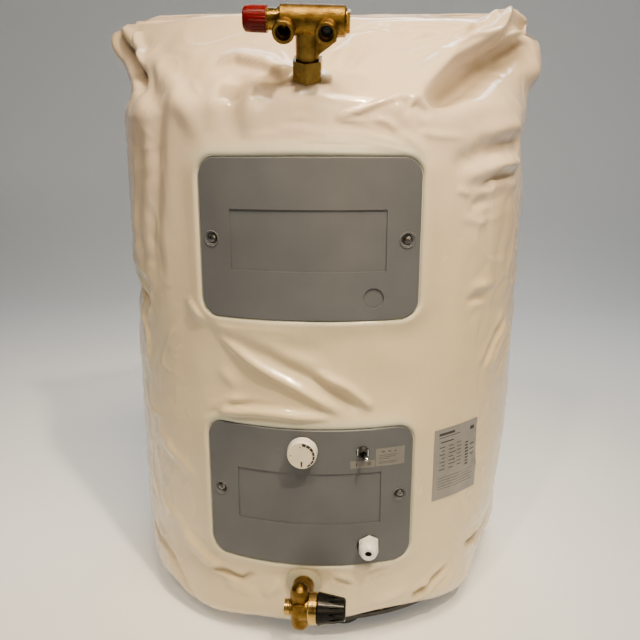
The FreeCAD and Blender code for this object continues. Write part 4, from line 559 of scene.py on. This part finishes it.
def fold_lift(points, normals):
    """How far the folds lift each point, in metres. High folds keep straighter lines than low ones."""
    lift = np.zeros(len(points))
    drift, swell = fold_drift(points)
    for kind, width, height, start_taper, end_taper, *path in FOLDS:
        line = fold_line(path)
        reach = 3.6 * width * MM
        index = points_near(points, line, reach)
        if not len(index):
            continue
        calm = min(1.0, CALM_HEIGHT / abs(height))
        here = points[index] + calm * drift[index]
        outward = normals[index]
        best = np.full(len(index), 3.0 * reach)
        side = np.ones(len(index))
        place = np.zeros(len(index))
        lengths = np.linalg.norm(np.diff(line, axis=0), axis=1)
        start = 0.0
        for a, b, length in zip(line[:-1], line[1:], lengths):
            run = (b - a) / max(length, 1e-9)
            close = points_near(here, np.array((a, b)), reach)
            along = np.clip((here[close] - a) @ run, 0, length)
            away = here[close] - (a + along[:, None] * run)
            distance = np.linalg.norm(away, axis=1)
            closer = distance < best[close]
            turned = np.einsum("ij,ij->i", np.cross(run, away), outward[close])
            chosen = close[closer]
            best[chosen] = distance[closer]
            side[chosen] = np.sign(turned[closer])
            place[chosen] = (start + along[closer]) / lengths.sum()
            start += length
        fade = (np.sin(np.pi / 2 * rise(place, 0, start_taper))
                * np.sin(np.pi / 2 * rise(1 - place, 0, end_taper)))
        share = 1 + calm * (swell[index] - 1)
        lift[index] += height * MM * fade * share * fold_profile(kind, best * side, width * MM)
    return lift


def rough_waves(points):
    """Slow unevenness of the loose film over its foam, in metres."""
    lift = np.empty(len(points))
    for i, point in enumerate(points):
        place = Vector(point)
        slow = noise.noise(place * 9)
        quick = noise.noise(Vector((place.x * 34, place.y * 34, place.z * 20)))
        lift[i] = WAVE * slow + FINE_WAVE * quick
    return lift


def crumple(points):
    """Fine sharp creases of the loose film at the sides, on the top and at the back, in metres."""
    beside = rise(np.abs(points[:, 0]), *BESIDE)
    over = rise(points[:, 2], *OVER)
    behind = rise(points[:, 1], *BEHIND)
    loose = np.maximum(np.maximum(beside, 0.75 * over), 0.6 * behind)
    lift = np.zeros(len(points))
    for i in np.nonzero(loose > 0.02)[0]:
        place = Vector(points[i])
        bent = place + CREASE_BEND * noise.noise_vector(place * 11)
        patch = min(1.0, max(0.0, 0.5 + 1.6 * noise.noise(place * 7)))
        crease = max(0.0, 1 - 5.5 * abs(noise.noise(Vector((bent.x * 13, bent.y * 13, bent.z * 19)))))
        facet = abs(noise.noise(Vector((bent.x * 24, bent.y * 24, bent.z * 30))))
        lift[i] = loose[i] * (CREASE * patch * crease ** 1.5 + FACET * facet)
    return lift


def off_outlet(points):
    """Each point's distance from the outlet stub's axis."""
    away = points - OUTLET_FOOT
    return np.linalg.norm(away - (away @ OUTLET_AXIS)[:, None] * OUTLET_AXIS, axis=1)


def off_drain(points):
    """Each point's distance from the drain's axis, which runs along Y."""
    return np.hypot(points[:, 0] - DRAIN_X, points[:, 2] - DRAIN_Z)


def fitting_mounds(points):
    """The film pushed up round the outlet stub and pulled in round the drain collar, as displacements."""
    beside = off_outlet(points)
    pushed = (STUB_MOUND[0] / (1 + (beside / STUB_MOUND[1]) ** 3)
              + WIDE_MOUND[0] * np.exp(-(beside / WIDE_MOUND[1]) ** 2))
    moved = pushed[:, None] * OUTLET_AXIS
    pulled = DRAIN_DIMPLE[0] * np.exp(-(off_drain(points) / DRAIN_DIMPLE[1]) ** 4)
    moved[:, 1] += np.where(points[:, 1] < 0, pulled, 0)
    return moved


# Broad pulls on the loose film as (angle, way, angle reach, way reach, outward, upward), in degrees and mm

PULLS = (
    # left ear, drawn up and out
    (-90, 864, 9, 18, 13, 13),
    (-84, 905, 14, 26, 2, 6),
    # right ear, low and full
    (90, 905, 12, 45, -15, 0),
    (88, 792, 12, 38, 12, 0),
    (79, 650, 9, 22, -8, 0),
    # left side
    (-70, 448, 10, 18, -13, 0),
    (-70, 520, 12, 30, 1, 0),
    (-68, 410, 12, 22, -4, 0),
    # top of the front
    (-44, 898, 22, 22, 0, 4),
    (20, 898, 26, 22, 0, -5),
    # lower left, sagging
    (-52, 40, 15, 30, 5, -7),
    (-30, 34, 12, 26, 7, -8),
    # lower right, drawn in and up
    (69, 70, 15, 50, -27, 8),
    (50, 32, 9, 20, 3, -5),
    (22, 28, 12, 20, -4, 9),
    (78, 150, 11, 60, -9, 0),
)


def pull_moves(angles, ways, normals):
    moves = np.zeros_like(normals)
    for angle, way, angle_reach, way_reach, outward, upward in PULLS:
        share = np.exp(-((angles - angle) / angle_reach) ** 2 - ((ways / MM - way) / way_reach) ** 2)[:, None]
        moves += share * (outward * MM * normals + upward * MM * np.array((0, 0, 1)))
    return moves


def film_form(angles, ways):
    """Points of the finished film at angles in degrees and ways in metres, and how far its folds lift each."""
    base = form_points(angles, ways)
    normals = form_normals(angles, ways)
    front = base[:, 1] < 0
    rims = np.zeros(len(base))
    free = np.ones(len(base))
    for centre in COVER_HEIGHTS:
        distance = cover_distance(base[:, 0], base[:, 2], centre)
        rims = np.where(front & (distance < RIM_LIFT_AT[-1]), np.interp(distance, RIM_LIFT_AT, RIM_LIFTS), rims)
        free = np.where(front, free * rise(distance, *FREE_OF_COVER), free)
    free = np.where(front, free * rise(off_drain(base), *FREE_OF_DRAIN), free)
    top_free = rise(FILM_TOP - ways, *FREE_OF_TOP)
    folds = fold_lift(base, normals) * free
    lift = rims + folds + (rough_waves(base) + crumple(base)) * top_free * free
    pulls = pull_moves((angles + 180) % 360 - 180, ways, normals) * free[:, None]
    return base + lift[:, None] * normals + pulls + fitting_mounds(base), folds


# Film mesh: an even grid with two holes, each closed in by loops that follow the cover's outline

FRONT_STEP, BACK_STEP, WAY_STEP = 0.55, 1.5, 0.0031
TUCK_ROWS = 16
HEM_REACH = 0.004
SIDE_COUNT, CORNER_COUNT = 60, 12
GRID_CLEARANCE = 0.0012
FITTING_GAP = 0.009
STRIP_REACH = 0.08
# How deep a fold must sink the film to get its full painted shade
PAINTED_SHADE_DEPTH = 17 * MM


def column_angles():
    return np.concatenate([np.arange(-88, 88, FRONT_STEP), np.arange(88, 272, BACK_STEP)])


def row_ways():
    return np.concatenate([np.linspace(ROW_WAYS[0], TUCK_TOP, TUCK_ROWS)[:-1],
                           np.arange(TUCK_TOP, FILM_TOP - HEM_REACH, WAY_STEP),
                           np.linspace(FILM_TOP - HEM_REACH, FILM_TOP, 3)])


def outline_loop(centre, offset):
    """Points (x, z) round a cover's outline, moved out by an offset, always in the same order."""
    straight_x = COVER_HALF_WIDTH - COVER_CORNER
    straight_z = COVER_HALF_HEIGHT - COVER_CORNER
    radius = COVER_CORNER + offset
    loop = []
    corners = ((straight_x, -straight_z, -90), (straight_x, straight_z, 0),
               (-straight_x, straight_z, 90), (-straight_x, -straight_z, 180))
    for (x, z, start), (next_x, next_z, _) in zip(corners, corners[1:] + corners[:1]):
        for step in range(CORNER_COUNT):
            angle = math.radians(start + 90 * step / CORNER_COUNT)
            loop.append((x + radius * math.cos(angle), centre + z + radius * math.sin(angle)))
        end = math.radians(start + 90)
        for share in (step / SIDE_COUNT for step in range(SIDE_COUNT)):
            loop.append((x + (next_x - x) * share + radius * math.cos(end),
                         centre + z + (next_z - z) * share + radius * math.sin(end)))
    return np.array(loop)


def film_part(angles, ways):
    """The film's points at these angles and ways, how far its folds lift them, and the pairs (angle, way)."""
    return (*film_form(angles, ways), np.stack([angles, ways], axis=1))


def make_film():
    angles, ways = column_angles(), row_ways()
    flat_angles, flat_ways = (grid.ravel() for grid in np.meshgrid(angles, ways))
    base = form_points(flat_angles, flat_ways)
    front = base[:, 1] < 0
    covered = np.zeros(len(base), bool)
    for centre in COVER_HEIGHTS:
        distance = cover_distance(base[:, 0], base[:, 2], centre)
        covered |= front & (distance < RIM_OFFSETS[-1] + GRID_CLEARANCE)
    at_outlet = (off_outlet(base) < FITTING_GAP) & (base[:, 2] > SHOULDER)
    at_fitting = front & (at_outlet | (off_drain(base) < FITTING_GAP))

    parts = [film_part(flat_angles, flat_ways)]
    offset = len(base)
    left = np.arange(offset).reshape(len(ways), len(angles))
    right = np.roll(left, -1, axis=1)
    cells = np.stack([left[:-1], right[:-1], right[1:], left[1:]], axis=-1)
    in_cover = covered[cells].any(-1)
    gone = {(row, column): tuple(cells[row, column]) for row, column in np.argwhere(in_cover)}
    faces = cells[~in_cover & ~at_fitting[cells].any(-1)].tolist()
    for centre in COVER_HEIGHTS:
        loops = []
        for distance in RIM_OFFSETS:
            loop = outline_loop(centre, distance)
            parts.append(film_part(np.degrees(np.arcsin(loop[:, 0] / JACKET_RADIUS)), loop[:, 1]))
            loops.append(list(range(offset, offset + len(loop))))
            offset += len(loop)
        for inner, outer in zip(loops, loops[1:]):
            for i in range(len(inner)):
                j = (i + 1) % len(inner)
                faces.append((inner[i], inner[j], outer[j], outer[i]))
        plane = np.concatenate([pairs for _, _, pairs in parts])
        faces += strip_faces(plane, gone, loops[-1], centre, angles, ways)

    points, folds, _ = (np.concatenate(fields) for fields in zip(*parts))
    mesh = bpy.data.meshes.new("jacket_film")
    mesh.from_pydata(points.tolist(), [], [tuple(map(int, face)) for face in faces])
    mesh.materials.append(finish["jacket_film"])
    mesh.polygons.foreach_set("use_smooth", [True] * len(faces))
    # The rim share tints the film with the frame under it, and the sunk share paints shade into the fold
    # valleys
    for name, shares in (("rim", rim_shares(points)), ("painted_fold_shade", np.clip(-folds / PAINTED_SHADE_DEPTH, 0, 1))):
        mesh.attributes.new(name, "FLOAT", "POINT").data.foreach_set("value", shares)
    cleaner = bmesh.new()
    cleaner.from_mesh(mesh)
    bmesh.ops.delete(cleaner, geom=[v for v in cleaner.verts if not v.link_faces], context="VERTS")
    turned_into(mesh, cleaner)
    return linked("jacket_film", mesh)


def strip_faces(plane, gone, loop, centre, angles, ways):
    """Triangles between a cover's outermost loop and the grid round it."""
    scale = np.array([math.pi / 180 * JACKET_RADIUS, 1.0])
    count = {}
    for (row, _), corners in gone.items():
        if abs(ways[row] - centre) < COVER_HALF_HEIGHT + STRIP_REACH:
            for a, b in zip(corners, corners[1:] + corners[:1]):
                key = (min(a, b), max(a, b))
                count[key] = count.get(key, 0) + 1
    border = [key for key, times in count.items() if times == 1]
    ids = sorted({i for key in border for i in key}) + loop
    local = {v: i for i, v in enumerate(ids)}
    edges = [(local[a], local[b]) for a, b in border + list(zip(loop, loop[1:] + loop[:1]))]
    flat = [Vector(plane[i] * scale) for i in ids]
    places, _, triangles, origin = delaunay_2d_cdt(flat, edges, [], 0, 1e-7)[:4]
    made = []
    for triangle in triangles:
        middle = sum((places[i] for i in triangle), Vector((0, 0))) / 3
        x = JACKET_RADIUS * math.sin(middle.x / JACKET_RADIUS)
        if cover_distance(np.array(x), np.array(middle.y), centre) < RIM_OFFSETS[-1]:
            continue
        cell = (np.searchsorted(ways, middle.y) - 1, np.searchsorted(angles, middle.x / scale[0]) - 1)
        if cell in gone:
            made.append(tuple(ids[origin[i][0]] for i in triangle))
    return made


# Small rigid pieces, built on the frame's own faces

def turned_into(mesh, build):
    """Writes a build into a mesh with its faces turned outward."""
    bmesh.ops.recalc_face_normals(build, faces=build.faces)
    build.to_mesh(mesh)
    build.free()
    return mesh


def built(name, build, *materials):
    return linked(name, turned_into(bpy.data.meshes.new(name), build), *materials)


def seated(piece, body):
    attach(piece, body)
    return piece


def join(build, lines, round_lines=True):
    """Faces between each line of vertices and the next, which may also run round each line."""
    for line, following in zip(lines, lines[1:]):
        for i in range(len(line) if round_lines else len(line) - 1):
            j = (i + 1) % len(line)
            build.faces.new((line[i], following[i], following[j], line[j]))


def lathe(name, profile, count, place):
    """A mesh turned about a line along Y from (radius, distance towards the front) points."""
    build = bmesh.new()
    turns = [math.tau * i / count for i in range(count)]
    rings = [[build.verts.new((place[0] + radius * math.cos(angle), place[1] - forward,
                               place[2] + radius * math.sin(angle))) for angle in turns]
             for radius, forward in profile]
    join(build, rings)
    build.faces.new(rings[0])
    build.faces.new(rings[-1])
    return turned_into(bpy.data.meshes.new(name), build)


def front_of(node, x, z):
    """The Y of a node's first face seen from the front at (x, z)."""
    hit, place, _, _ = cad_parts[node].ray_cast(Vector((x, -1, z)), Vector((0, 1, 0)))
    if not hit:
        raise RuntimeError(f"{node} has no face at {x}, {z}")
    return place.y


def add_patch(build, surface_points, x0, x1, z0, z1, lift, thickness, material_index=0, step=0.003):
    """A thin plate laid on a curved surface. surface_points(x, z, lift) gives points above the surface."""
    columns = max(1, math.ceil((x1 - x0) / step))
    rows = max(1, math.ceil((z1 - z0) / step))
    across, up = np.meshgrid(np.linspace(x0, x1, columns + 1), np.linspace(z0, z1, rows + 1))
    bottom, top = ([build.verts.new(place) for place in surface_points(across.ravel(), up.ravel(), height)]
                   for height in (lift, lift + thickness))

    def add_face(*corners):
        face = build.faces.new([level[row * (columns + 1) + column] for level, column, row in corners])
        face.material_index = material_index

    for row in range(rows):
        for column in range(columns):
            add_face((top, column, row), (top, column + 1, row),
                     (top, column + 1, row + 1), (top, column, row + 1))
    rim = ([(column, 0) for column in range(columns)] + [(columns, row) for row in range(rows)]
           + [(column, rows) for column in range(columns, 0, -1)] + [(0, row) for row in range(rows, 0, -1)])
    for a, b in zip(rim, rim[1:] + rim[:1]):
        add_face((bottom, *a), (bottom, *b), (top, *b), (top, *a))


def on_cover(x, z, lift):
    """Points over the lower cover's face."""
    return np.stack([x, -np.sqrt((COVER_FACE + lift) ** 2 - np.square(x)), z], axis=-1)


# Marks on the thermostat knob

KNOB_X, KNOB_Z = -6 * MM, 288 * MM
BESIDE_BOSS = 6 * MM
SCALE_RADIUS = 16.0 * MM
SCALE_DASHES = 7
SCALE_START, SCALE_END = 12.1, 17.2
DASH_SHARE = 0.86
FACE_RISE = 0.35 * MM
MARK_RISE = 0.12 * MM

# Single marks as (clock hour, inner radius, outer radius, inner half width, outer half width), in mm
KNOB_STROKES = ((6, 7.6, 14.4, 1.3, 0.8), (9, 12.4, 13.8, 0.7, 0.7), (11.7, 10.4, 12.0, 0.7, 0.7))


def add_face_strip(build, face_y, points, half_widths):
    """A flat raised line on the knob's face through (x, z) points with a half width at each."""
    sides = []
    for i, (x, z) in enumerate(points):
        before = points[max(i - 1, 0)]
        after = points[min(i + 1, len(points) - 1)]
        run = Vector((after[0] - before[0], after[1] - before[1])).normalized()
        across = Vector((-run.y, run.x)) * half_widths[i]
        sides.append(((x + across.x, z + across.y), (x - across.x, z - across.y)))
    outline = [left for left, _ in sides] + [right for _, right in reversed(sides)]
    top = [build.verts.new((x, face_y - MARK_RISE, z)) for x, z in outline]
    foot = [build.verts.new((x, face_y, z)) for x, z in outline]
    build.faces.new(top)
    join(build, [top, foot])


def make_knob_face():
    """The flat cream face let into the knob's front."""
    face_y = front_of("thermostat_knob", KNOB_X, KNOB_Z + BESIDE_BOSS)
    profile = [(16.6 * MM, -0.3 * MM), (16.6 * MM, 0.6 * FACE_RISE), (16.3 * MM, FACE_RISE)]
    disc = lathe("knob_face", profile, 72, (KNOB_X, face_y, KNOB_Z))
    return seated(linked("knob_face", disc, finish["face_plastic"]), "thermostat_dial")


def make_knob_marks():
    """Dashes that thin out round the knob's face, and three single marks."""
    build = bmesh.new()
    face_y = front_of("thermostat_knob", KNOB_X, KNOB_Z + BESIDE_BOSS) - FACE_RISE

    def polar(radius, clock):
        angle = math.radians(90 - clock * 30)
        return KNOB_X + radius * math.cos(angle), KNOB_Z + radius * math.sin(angle)

    pitch = (SCALE_END - SCALE_START) / SCALE_DASHES
    for i in range(SCALE_DASHES):
        start = SCALE_START + (SCALE_END - SCALE_START) * i / SCALE_DASHES
        end = start + pitch * DASH_SHARE
        half = (1.9 - 1.1 * i / SCALE_DASHES) * MM
        points = [polar(SCALE_RADIUS - half, start + (end - start) * k / 3) for k in range(4)]
        add_face_strip(build, face_y, points, [half] * 4)
    for clock, inner, outer, inner_half, outer_half in KNOB_STROKES:
        add_face_strip(build, face_y, [polar(inner * MM, clock), polar(outer * MM, clock)],
                       [inner_half * MM, outer_half * MM])
    return seated(built("knob_marks", build, finish["print_ink"]), "thermostat_dial")


# Rings and plates on the covers

SCREW_SPREAD = 114 * MM
WELLS = [(side * SCREW_SPREAD, centre) for centre in COVER_HEIGHTS for side in (-1, 1)]
INDEX_PLACE = (-35 * MM, 289 * MM)  # left of the knob
RING_COUNT, WIRE_COUNT = 36, 8


def add_ring(build, centre_x, centre_z, radius, wire):
    """A thin half round ring on a cover's face."""
    rings = []
    for angle in (math.tau * i / RING_COUNT for i in range(RING_COUNT)):
        ring = []
        for around in (math.tau * j / WIRE_COUNT for j in range(WIRE_COUNT)):
            reach = radius + wire * math.cos(around)
            ring.append(build.verts.new(on_cover(centre_x + reach * math.cos(angle),
                                                 centre_z + reach * math.sin(angle), wire * math.sin(around))))
        rings.append(ring)
    join(build, rings + rings[:1])


def make_rings(name, places, radius, wire):
    build = bmesh.new()
    for x, z in places:
        add_ring(build, x, z, radius, wire)
    return seated(built(name, build, finish["cover_plastic"]), "heater")


def make_plate(name, outline, thickness, lines, line_rise, material, print_material):
    """A plate on the lower cover's face with plain lines as (x0, x1, z0, z1), all in millimetres."""
    build = bmesh.new()
    add_patch(build, on_cover, *(at * MM for at in outline), 0.0, thickness * MM)
    for line in lines:
        add_patch(build, on_cover, *(at * MM for at in line), thickness * MM, line_rise * MM, 1)
    return seated(built(name, build, finish[material], finish[print_material]), "heater")


def make_switch_plate():
    """The light plate under the switch with one stroke and two strokes for its throws."""
    strokes = [(x - 0.55, x + 0.55, 266.1, 270.7) for x in (59.5, 73.6, 76.0)]
    return make_plate("switch_plate", (52, 82, 263.5, 273), 0.3, strokes, 0.08, "plate_light", "print_ink")


def make_side_plate():
    """The pale plate beside the switch, with plain lines where such plates carry print."""
    lines = [(x0, x1, 282.2, 283.6) for x0, x1 in ((90, 94), (98.5, 101.5), (106, 108))]
    lines += [(86.5, x1, z, z + 0.5)
              for z, x1 in ((278.0, 109), (275.6, 107), (273.2, 100), (269.4, 110), (267.4, 108))]
    return make_plate("side_plate", (83, 118.5, 264, 287.5), 0.25, lines, 0.06, "plate_light", "print_grey")


# Rating plate on the film, bare but for plain lines

PLATE_ANGLES = (32.8, 48.9)
PLATE_HEIGHTS = (197 * MM, 296 * MM)
PLATE_CELLS = 24
PLATE_LIFT, PLATE_THICKNESS, PRINT_RISE = 0.25 * MM, 0.35 * MM, 0.08 * MM


def film_under_plate(left, right, bottom, top):
    """A function for points over the film. Here x is the way round the body from its front."""
    side = PLATE_CELLS + 1
    across, up = np.meshgrid(np.linspace(left, right, side), np.linspace(bottom, top, side))
    angles = np.degrees(across.ravel() / JACKET_RADIUS)
    places = film_form(angles, up.ravel())[0].reshape(side, side, 3)
    outward = form_normals(angles, up.ravel()).reshape(side, side, 3)

    def between(grid, column, row):
        c, r = np.minimum(column.astype(int), PLATE_CELLS - 1), np.minimum(row.astype(int), PLATE_CELLS - 1)
        u, v = (column - c)[:, None], (row - r)[:, None]
        return ((1 - v) * ((1 - u) * grid[r, c] + u * grid[r, c + 1])
                + v * ((1 - u) * grid[r + 1, c] + u * grid[r + 1, c + 1]))

    def on_film(x, z, lift):
        column = np.clip((x - left) / (right - left) * PLATE_CELLS, 0, PLATE_CELLS)
        row = np.clip((z - bottom) / (top - bottom) * PLATE_CELLS, 0, PLATE_CELLS)
        return between(places, column, row) + lift * between(outward, column, row)

    return on_film


def make_rating_plate():
    build = bmesh.new()
    left, right = (math.radians(a) * JACKET_RADIUS for a in PLATE_ANGLES)
    bottom, top = PLATE_HEIGHTS
    on_film = film_under_plate(left, right, bottom, top)
    width, height = right - left, top - bottom
    add_patch(build, on_film, left, right, bottom, top, PLATE_LIFT, PLATE_THICKNESS, step=0.004)

    def line(x0, x1, z, thick):
        add_patch(build, on_film, left + x0 * width, left + x1 * width, bottom + z * height,
                  bottom + z * height + thick * MM, PLATE_LIFT + PLATE_THICKNESS, PRINT_RISE, 1, step=0.006)

    line(0.10, 0.44, 0.905, 3.4)
    line(0.10, 0.56, 0.872, 0.9)
    line(0.14, 0.42, 0.80, 1.6)
    for row in range(7):
        z = 0.73 - row * 0.052
        line(0.12 + 0.05 * (row % 2), 0.24, z, 1.2)
        line(0.32, 0.42 + 0.03 * (row % 3), z, 1.2)
        line(0.50, 0.60, z + 0.008, 1.0)
    for row in range(5):
        line(0.10, 0.90 - 0.06 * (row % 2), 0.30 - row * 0.040, 0.6)
    line(0.82, 0.92, 0.86, 5.0)
    for row in range(8):
        line(0.70, 0.78, 0.38 + row * 0.044, 2.2)
    for row in range(3):
        line(0.83, 0.93, 0.50 + row * 0.07, 1.6)
    made = built("rating_plate", build, finish["plate_silver"], finish["print_grey"])
    return seated(made, "heater")


# Cover screws with cross recesses

HEAD_RADIUS = 4.75 * MM
HEAD_HEIGHT = 2.6 * MM
HEAD_EDGE = 1.2 * MM
SHANK_RADIUS = 2.0 * MM
TIP_RADIUS, TIP_LENGTH = 0.9 * MM, 1.4 * MM
CROSS_LEVELS = ((1.2, 2.75, 0.62), (-1.7, 1.5, 0.42))  # forward, half length and half width in mm


def cross_cutter(place, turn):
    """A tapered cross that sinks into a screw head from its front."""
    build = bmesh.new()
    for quarter in (0, 90):
        angle = math.radians(turn + quarter)
        along = Vector((math.cos(angle), 0, math.sin(angle)))
        across = Vector((-math.sin(angle), 0, math.cos(angle)))
        levels = []
        for forward, length, half in CROSS_LEVELS:
            middle = Vector(place) + Vector((0, -forward * MM, 0))
            levels.append([build.verts.new(middle + along * a * length * MM + across * c * half * MM)
                           for a, c in ((-1, -1), (1, -1), (1, 1), (-1, 1))])
            build.faces.new(levels[-1])
        join(build, levels)
    return turned_into(bpy.data.meshes.new("cross_cutter"), build)


def make_screws(node, centre, turns):
    front, back = (corner.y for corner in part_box(node))
    seat_y = front + HEAD_HEIGHT
    length = back - seat_y
    profile = [(TIP_RADIUS, -length), (SHANK_RADIUS, -length + TIP_LENGTH), (SHANK_RADIUS, 0.0),
               (HEAD_RADIUS, 0.0), (HEAD_RADIUS, HEAD_EDGE)]
    for angle in (math.pi / 2 * step / 6.6 for step in range(1, 7)):
        profile.append((HEAD_RADIUS * math.cos(angle), HEAD_EDGE + (HEAD_HEIGHT - HEAD_EDGE) * math.sin(angle)))
    merged = bmesh.new()
    for side, turn in zip((-1, 1), turns):
        x = side * SCREW_SPREAD
        blank = linked("screw_blank", lathe("screw_blank", profile, 40, (x, seat_y, centre)))
        cutter = linked("screw_cutter", cross_cutter((x, front, centre), turn))
        carve = blank.modifiers.new("recess", "BOOLEAN")
        carve.operation = "DIFFERENCE"
        carve.solver = "EXACT"
        carve.use_self = True
        carve.object = cutter
        bpy.context.view_layer.update()
        merged.from_mesh(blank.evaluated_get(bpy.context.evaluated_depsgraph_get()).to_mesh())
        bpy.data.objects.remove(blank)
        bpy.data.objects.remove(cutter)
    made = built(node.replace("cover_screws", "screws_carved"), merged, finish["screw_steel"])
    made.data.polygons.foreach_set("use_smooth", [False] * len(made.data.polygons))
    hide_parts(node)
    return seated(made, "heater")


# The safety valve's spring, which its disc squeezes

def make_live_spring(node):
    """A copy of a spring, shown in place of the frame's own and seated on the heater."""
    spring = linked(node + "_live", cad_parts[node].data.copy())
    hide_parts(node)
    seated(spring, "heater")
    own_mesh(spring)


# Weld strip along the top seam

STRIP_COLUMNS, STRIP_ROWS = 240, 5
STRIP_HALF, STRIP_HEIGHT = 280 * MM, 10 * MM
STRIP_END_SHARE = 0.06


def make_seam_strip():
    """Two films welded along the crown, swaying and drooping, lower towards the right end."""
    build = bmesh.new()
    grid = []
    for share in (column / STRIP_COLUMNS for column in range(STRIP_COLUMNS + 1)):
        x = -STRIP_HALF + 2 * STRIP_HALF * share
        sway = 0.004 * noise.noise(Vector((x * 14, 3.1, 0))) + 0.0015 * noise.noise(Vector((x * 55, 7.7, 0)))
        droop = 0.5 + 0.5 * noise.noise(Vector((x * 8, 11.3, 0)))
        ends = min(1.0, min(share, 1 - share) / STRIP_END_SHARE) * (1.0 if x < 0 else 0.55)
        line = []
        for up in (row / STRIP_ROWS for row in range(STRIP_ROWS + 1)):
            height = STRIP_HEIGHT * up * (0.75 + 0.25 * droop) * ends
            line.append(build.verts.new((x, -0.004 * up * up * droop + sway * (0.4 + 0.6 * up),
                                         SEAM_HEIGHT + 0.5 * MM + height - 1.5 * MM * (1 - ends))))
        grid.append(line)
    join(build, grid, round_lines=False)
    strip = built("seam_strip", build, finish["film_seam"])
    strip.modifiers.new("two_films", "SOLIDIFY").thickness = 0.7 * MM
    strip.data.polygons.foreach_set("use_smooth", [True] * len(strip.data.polygons))
    return seated(strip, "heater")


# Floor

FLOOR_HALF_WIDTH, FLOOR_FRONT, FLOOR_BEND, BEND_RADIUS, WALL_TOP = 3.0, -2.2, 1.6, 0.6, 2.6


def make_floor():
    """A floor that bends up into a wall behind the heater."""
    profile = [(FLOOR_FRONT, 0.0), (FLOOR_BEND, 0.0)]
    for angle in (math.pi / 2 * step / 12 for step in range(1, 13)):
        profile.append((FLOOR_BEND + BEND_RADIUS * math.sin(angle), BEND_RADIUS * (1 - math.cos(angle))))
    profile.append((FLOOR_BEND + BEND_RADIUS, WALL_TOP))
    count = len(profile)
    points = [(x, y, z) for x in (-FLOOR_HALF_WIDTH, FLOOR_HALF_WIDTH) for y, z in profile]
    faces = [(i, i + 1, count + i + 1, count + i) for i in range(count - 1)]
    mesh = bpy.data.meshes.new("studio_floor")
    mesh.from_pydata(points, [], faces)
    mesh.polygons.foreach_set("use_smooth", [True] * len(faces))
    linked("studio_floor", mesh, finish["pale_floor"])


make_camera()
make_studio()
make_floor()
finish_nodes()
jacket_film = make_film()
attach(jacket_film, "heater")
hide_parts("jacket", "foam_insulation")

make_knob_marks()
make_rings("index_ring", [INDEX_PLACE], 3.0 * MM, 0.35 * MM)
make_rings("screw_well_rings", WELLS, 8.8 * MM, 0.9 * MM)
make_knob_face()
make_switch_plate()
make_side_plate()
make_rating_plate()
make_screws("upper_cover_screws", UPPER_COVER_Z, (20, 62))
make_screws("lower_cover_screws", LOWER_COVER_Z, (48, 8))
make_live_spring("safety_spring")
make_seam_strip()
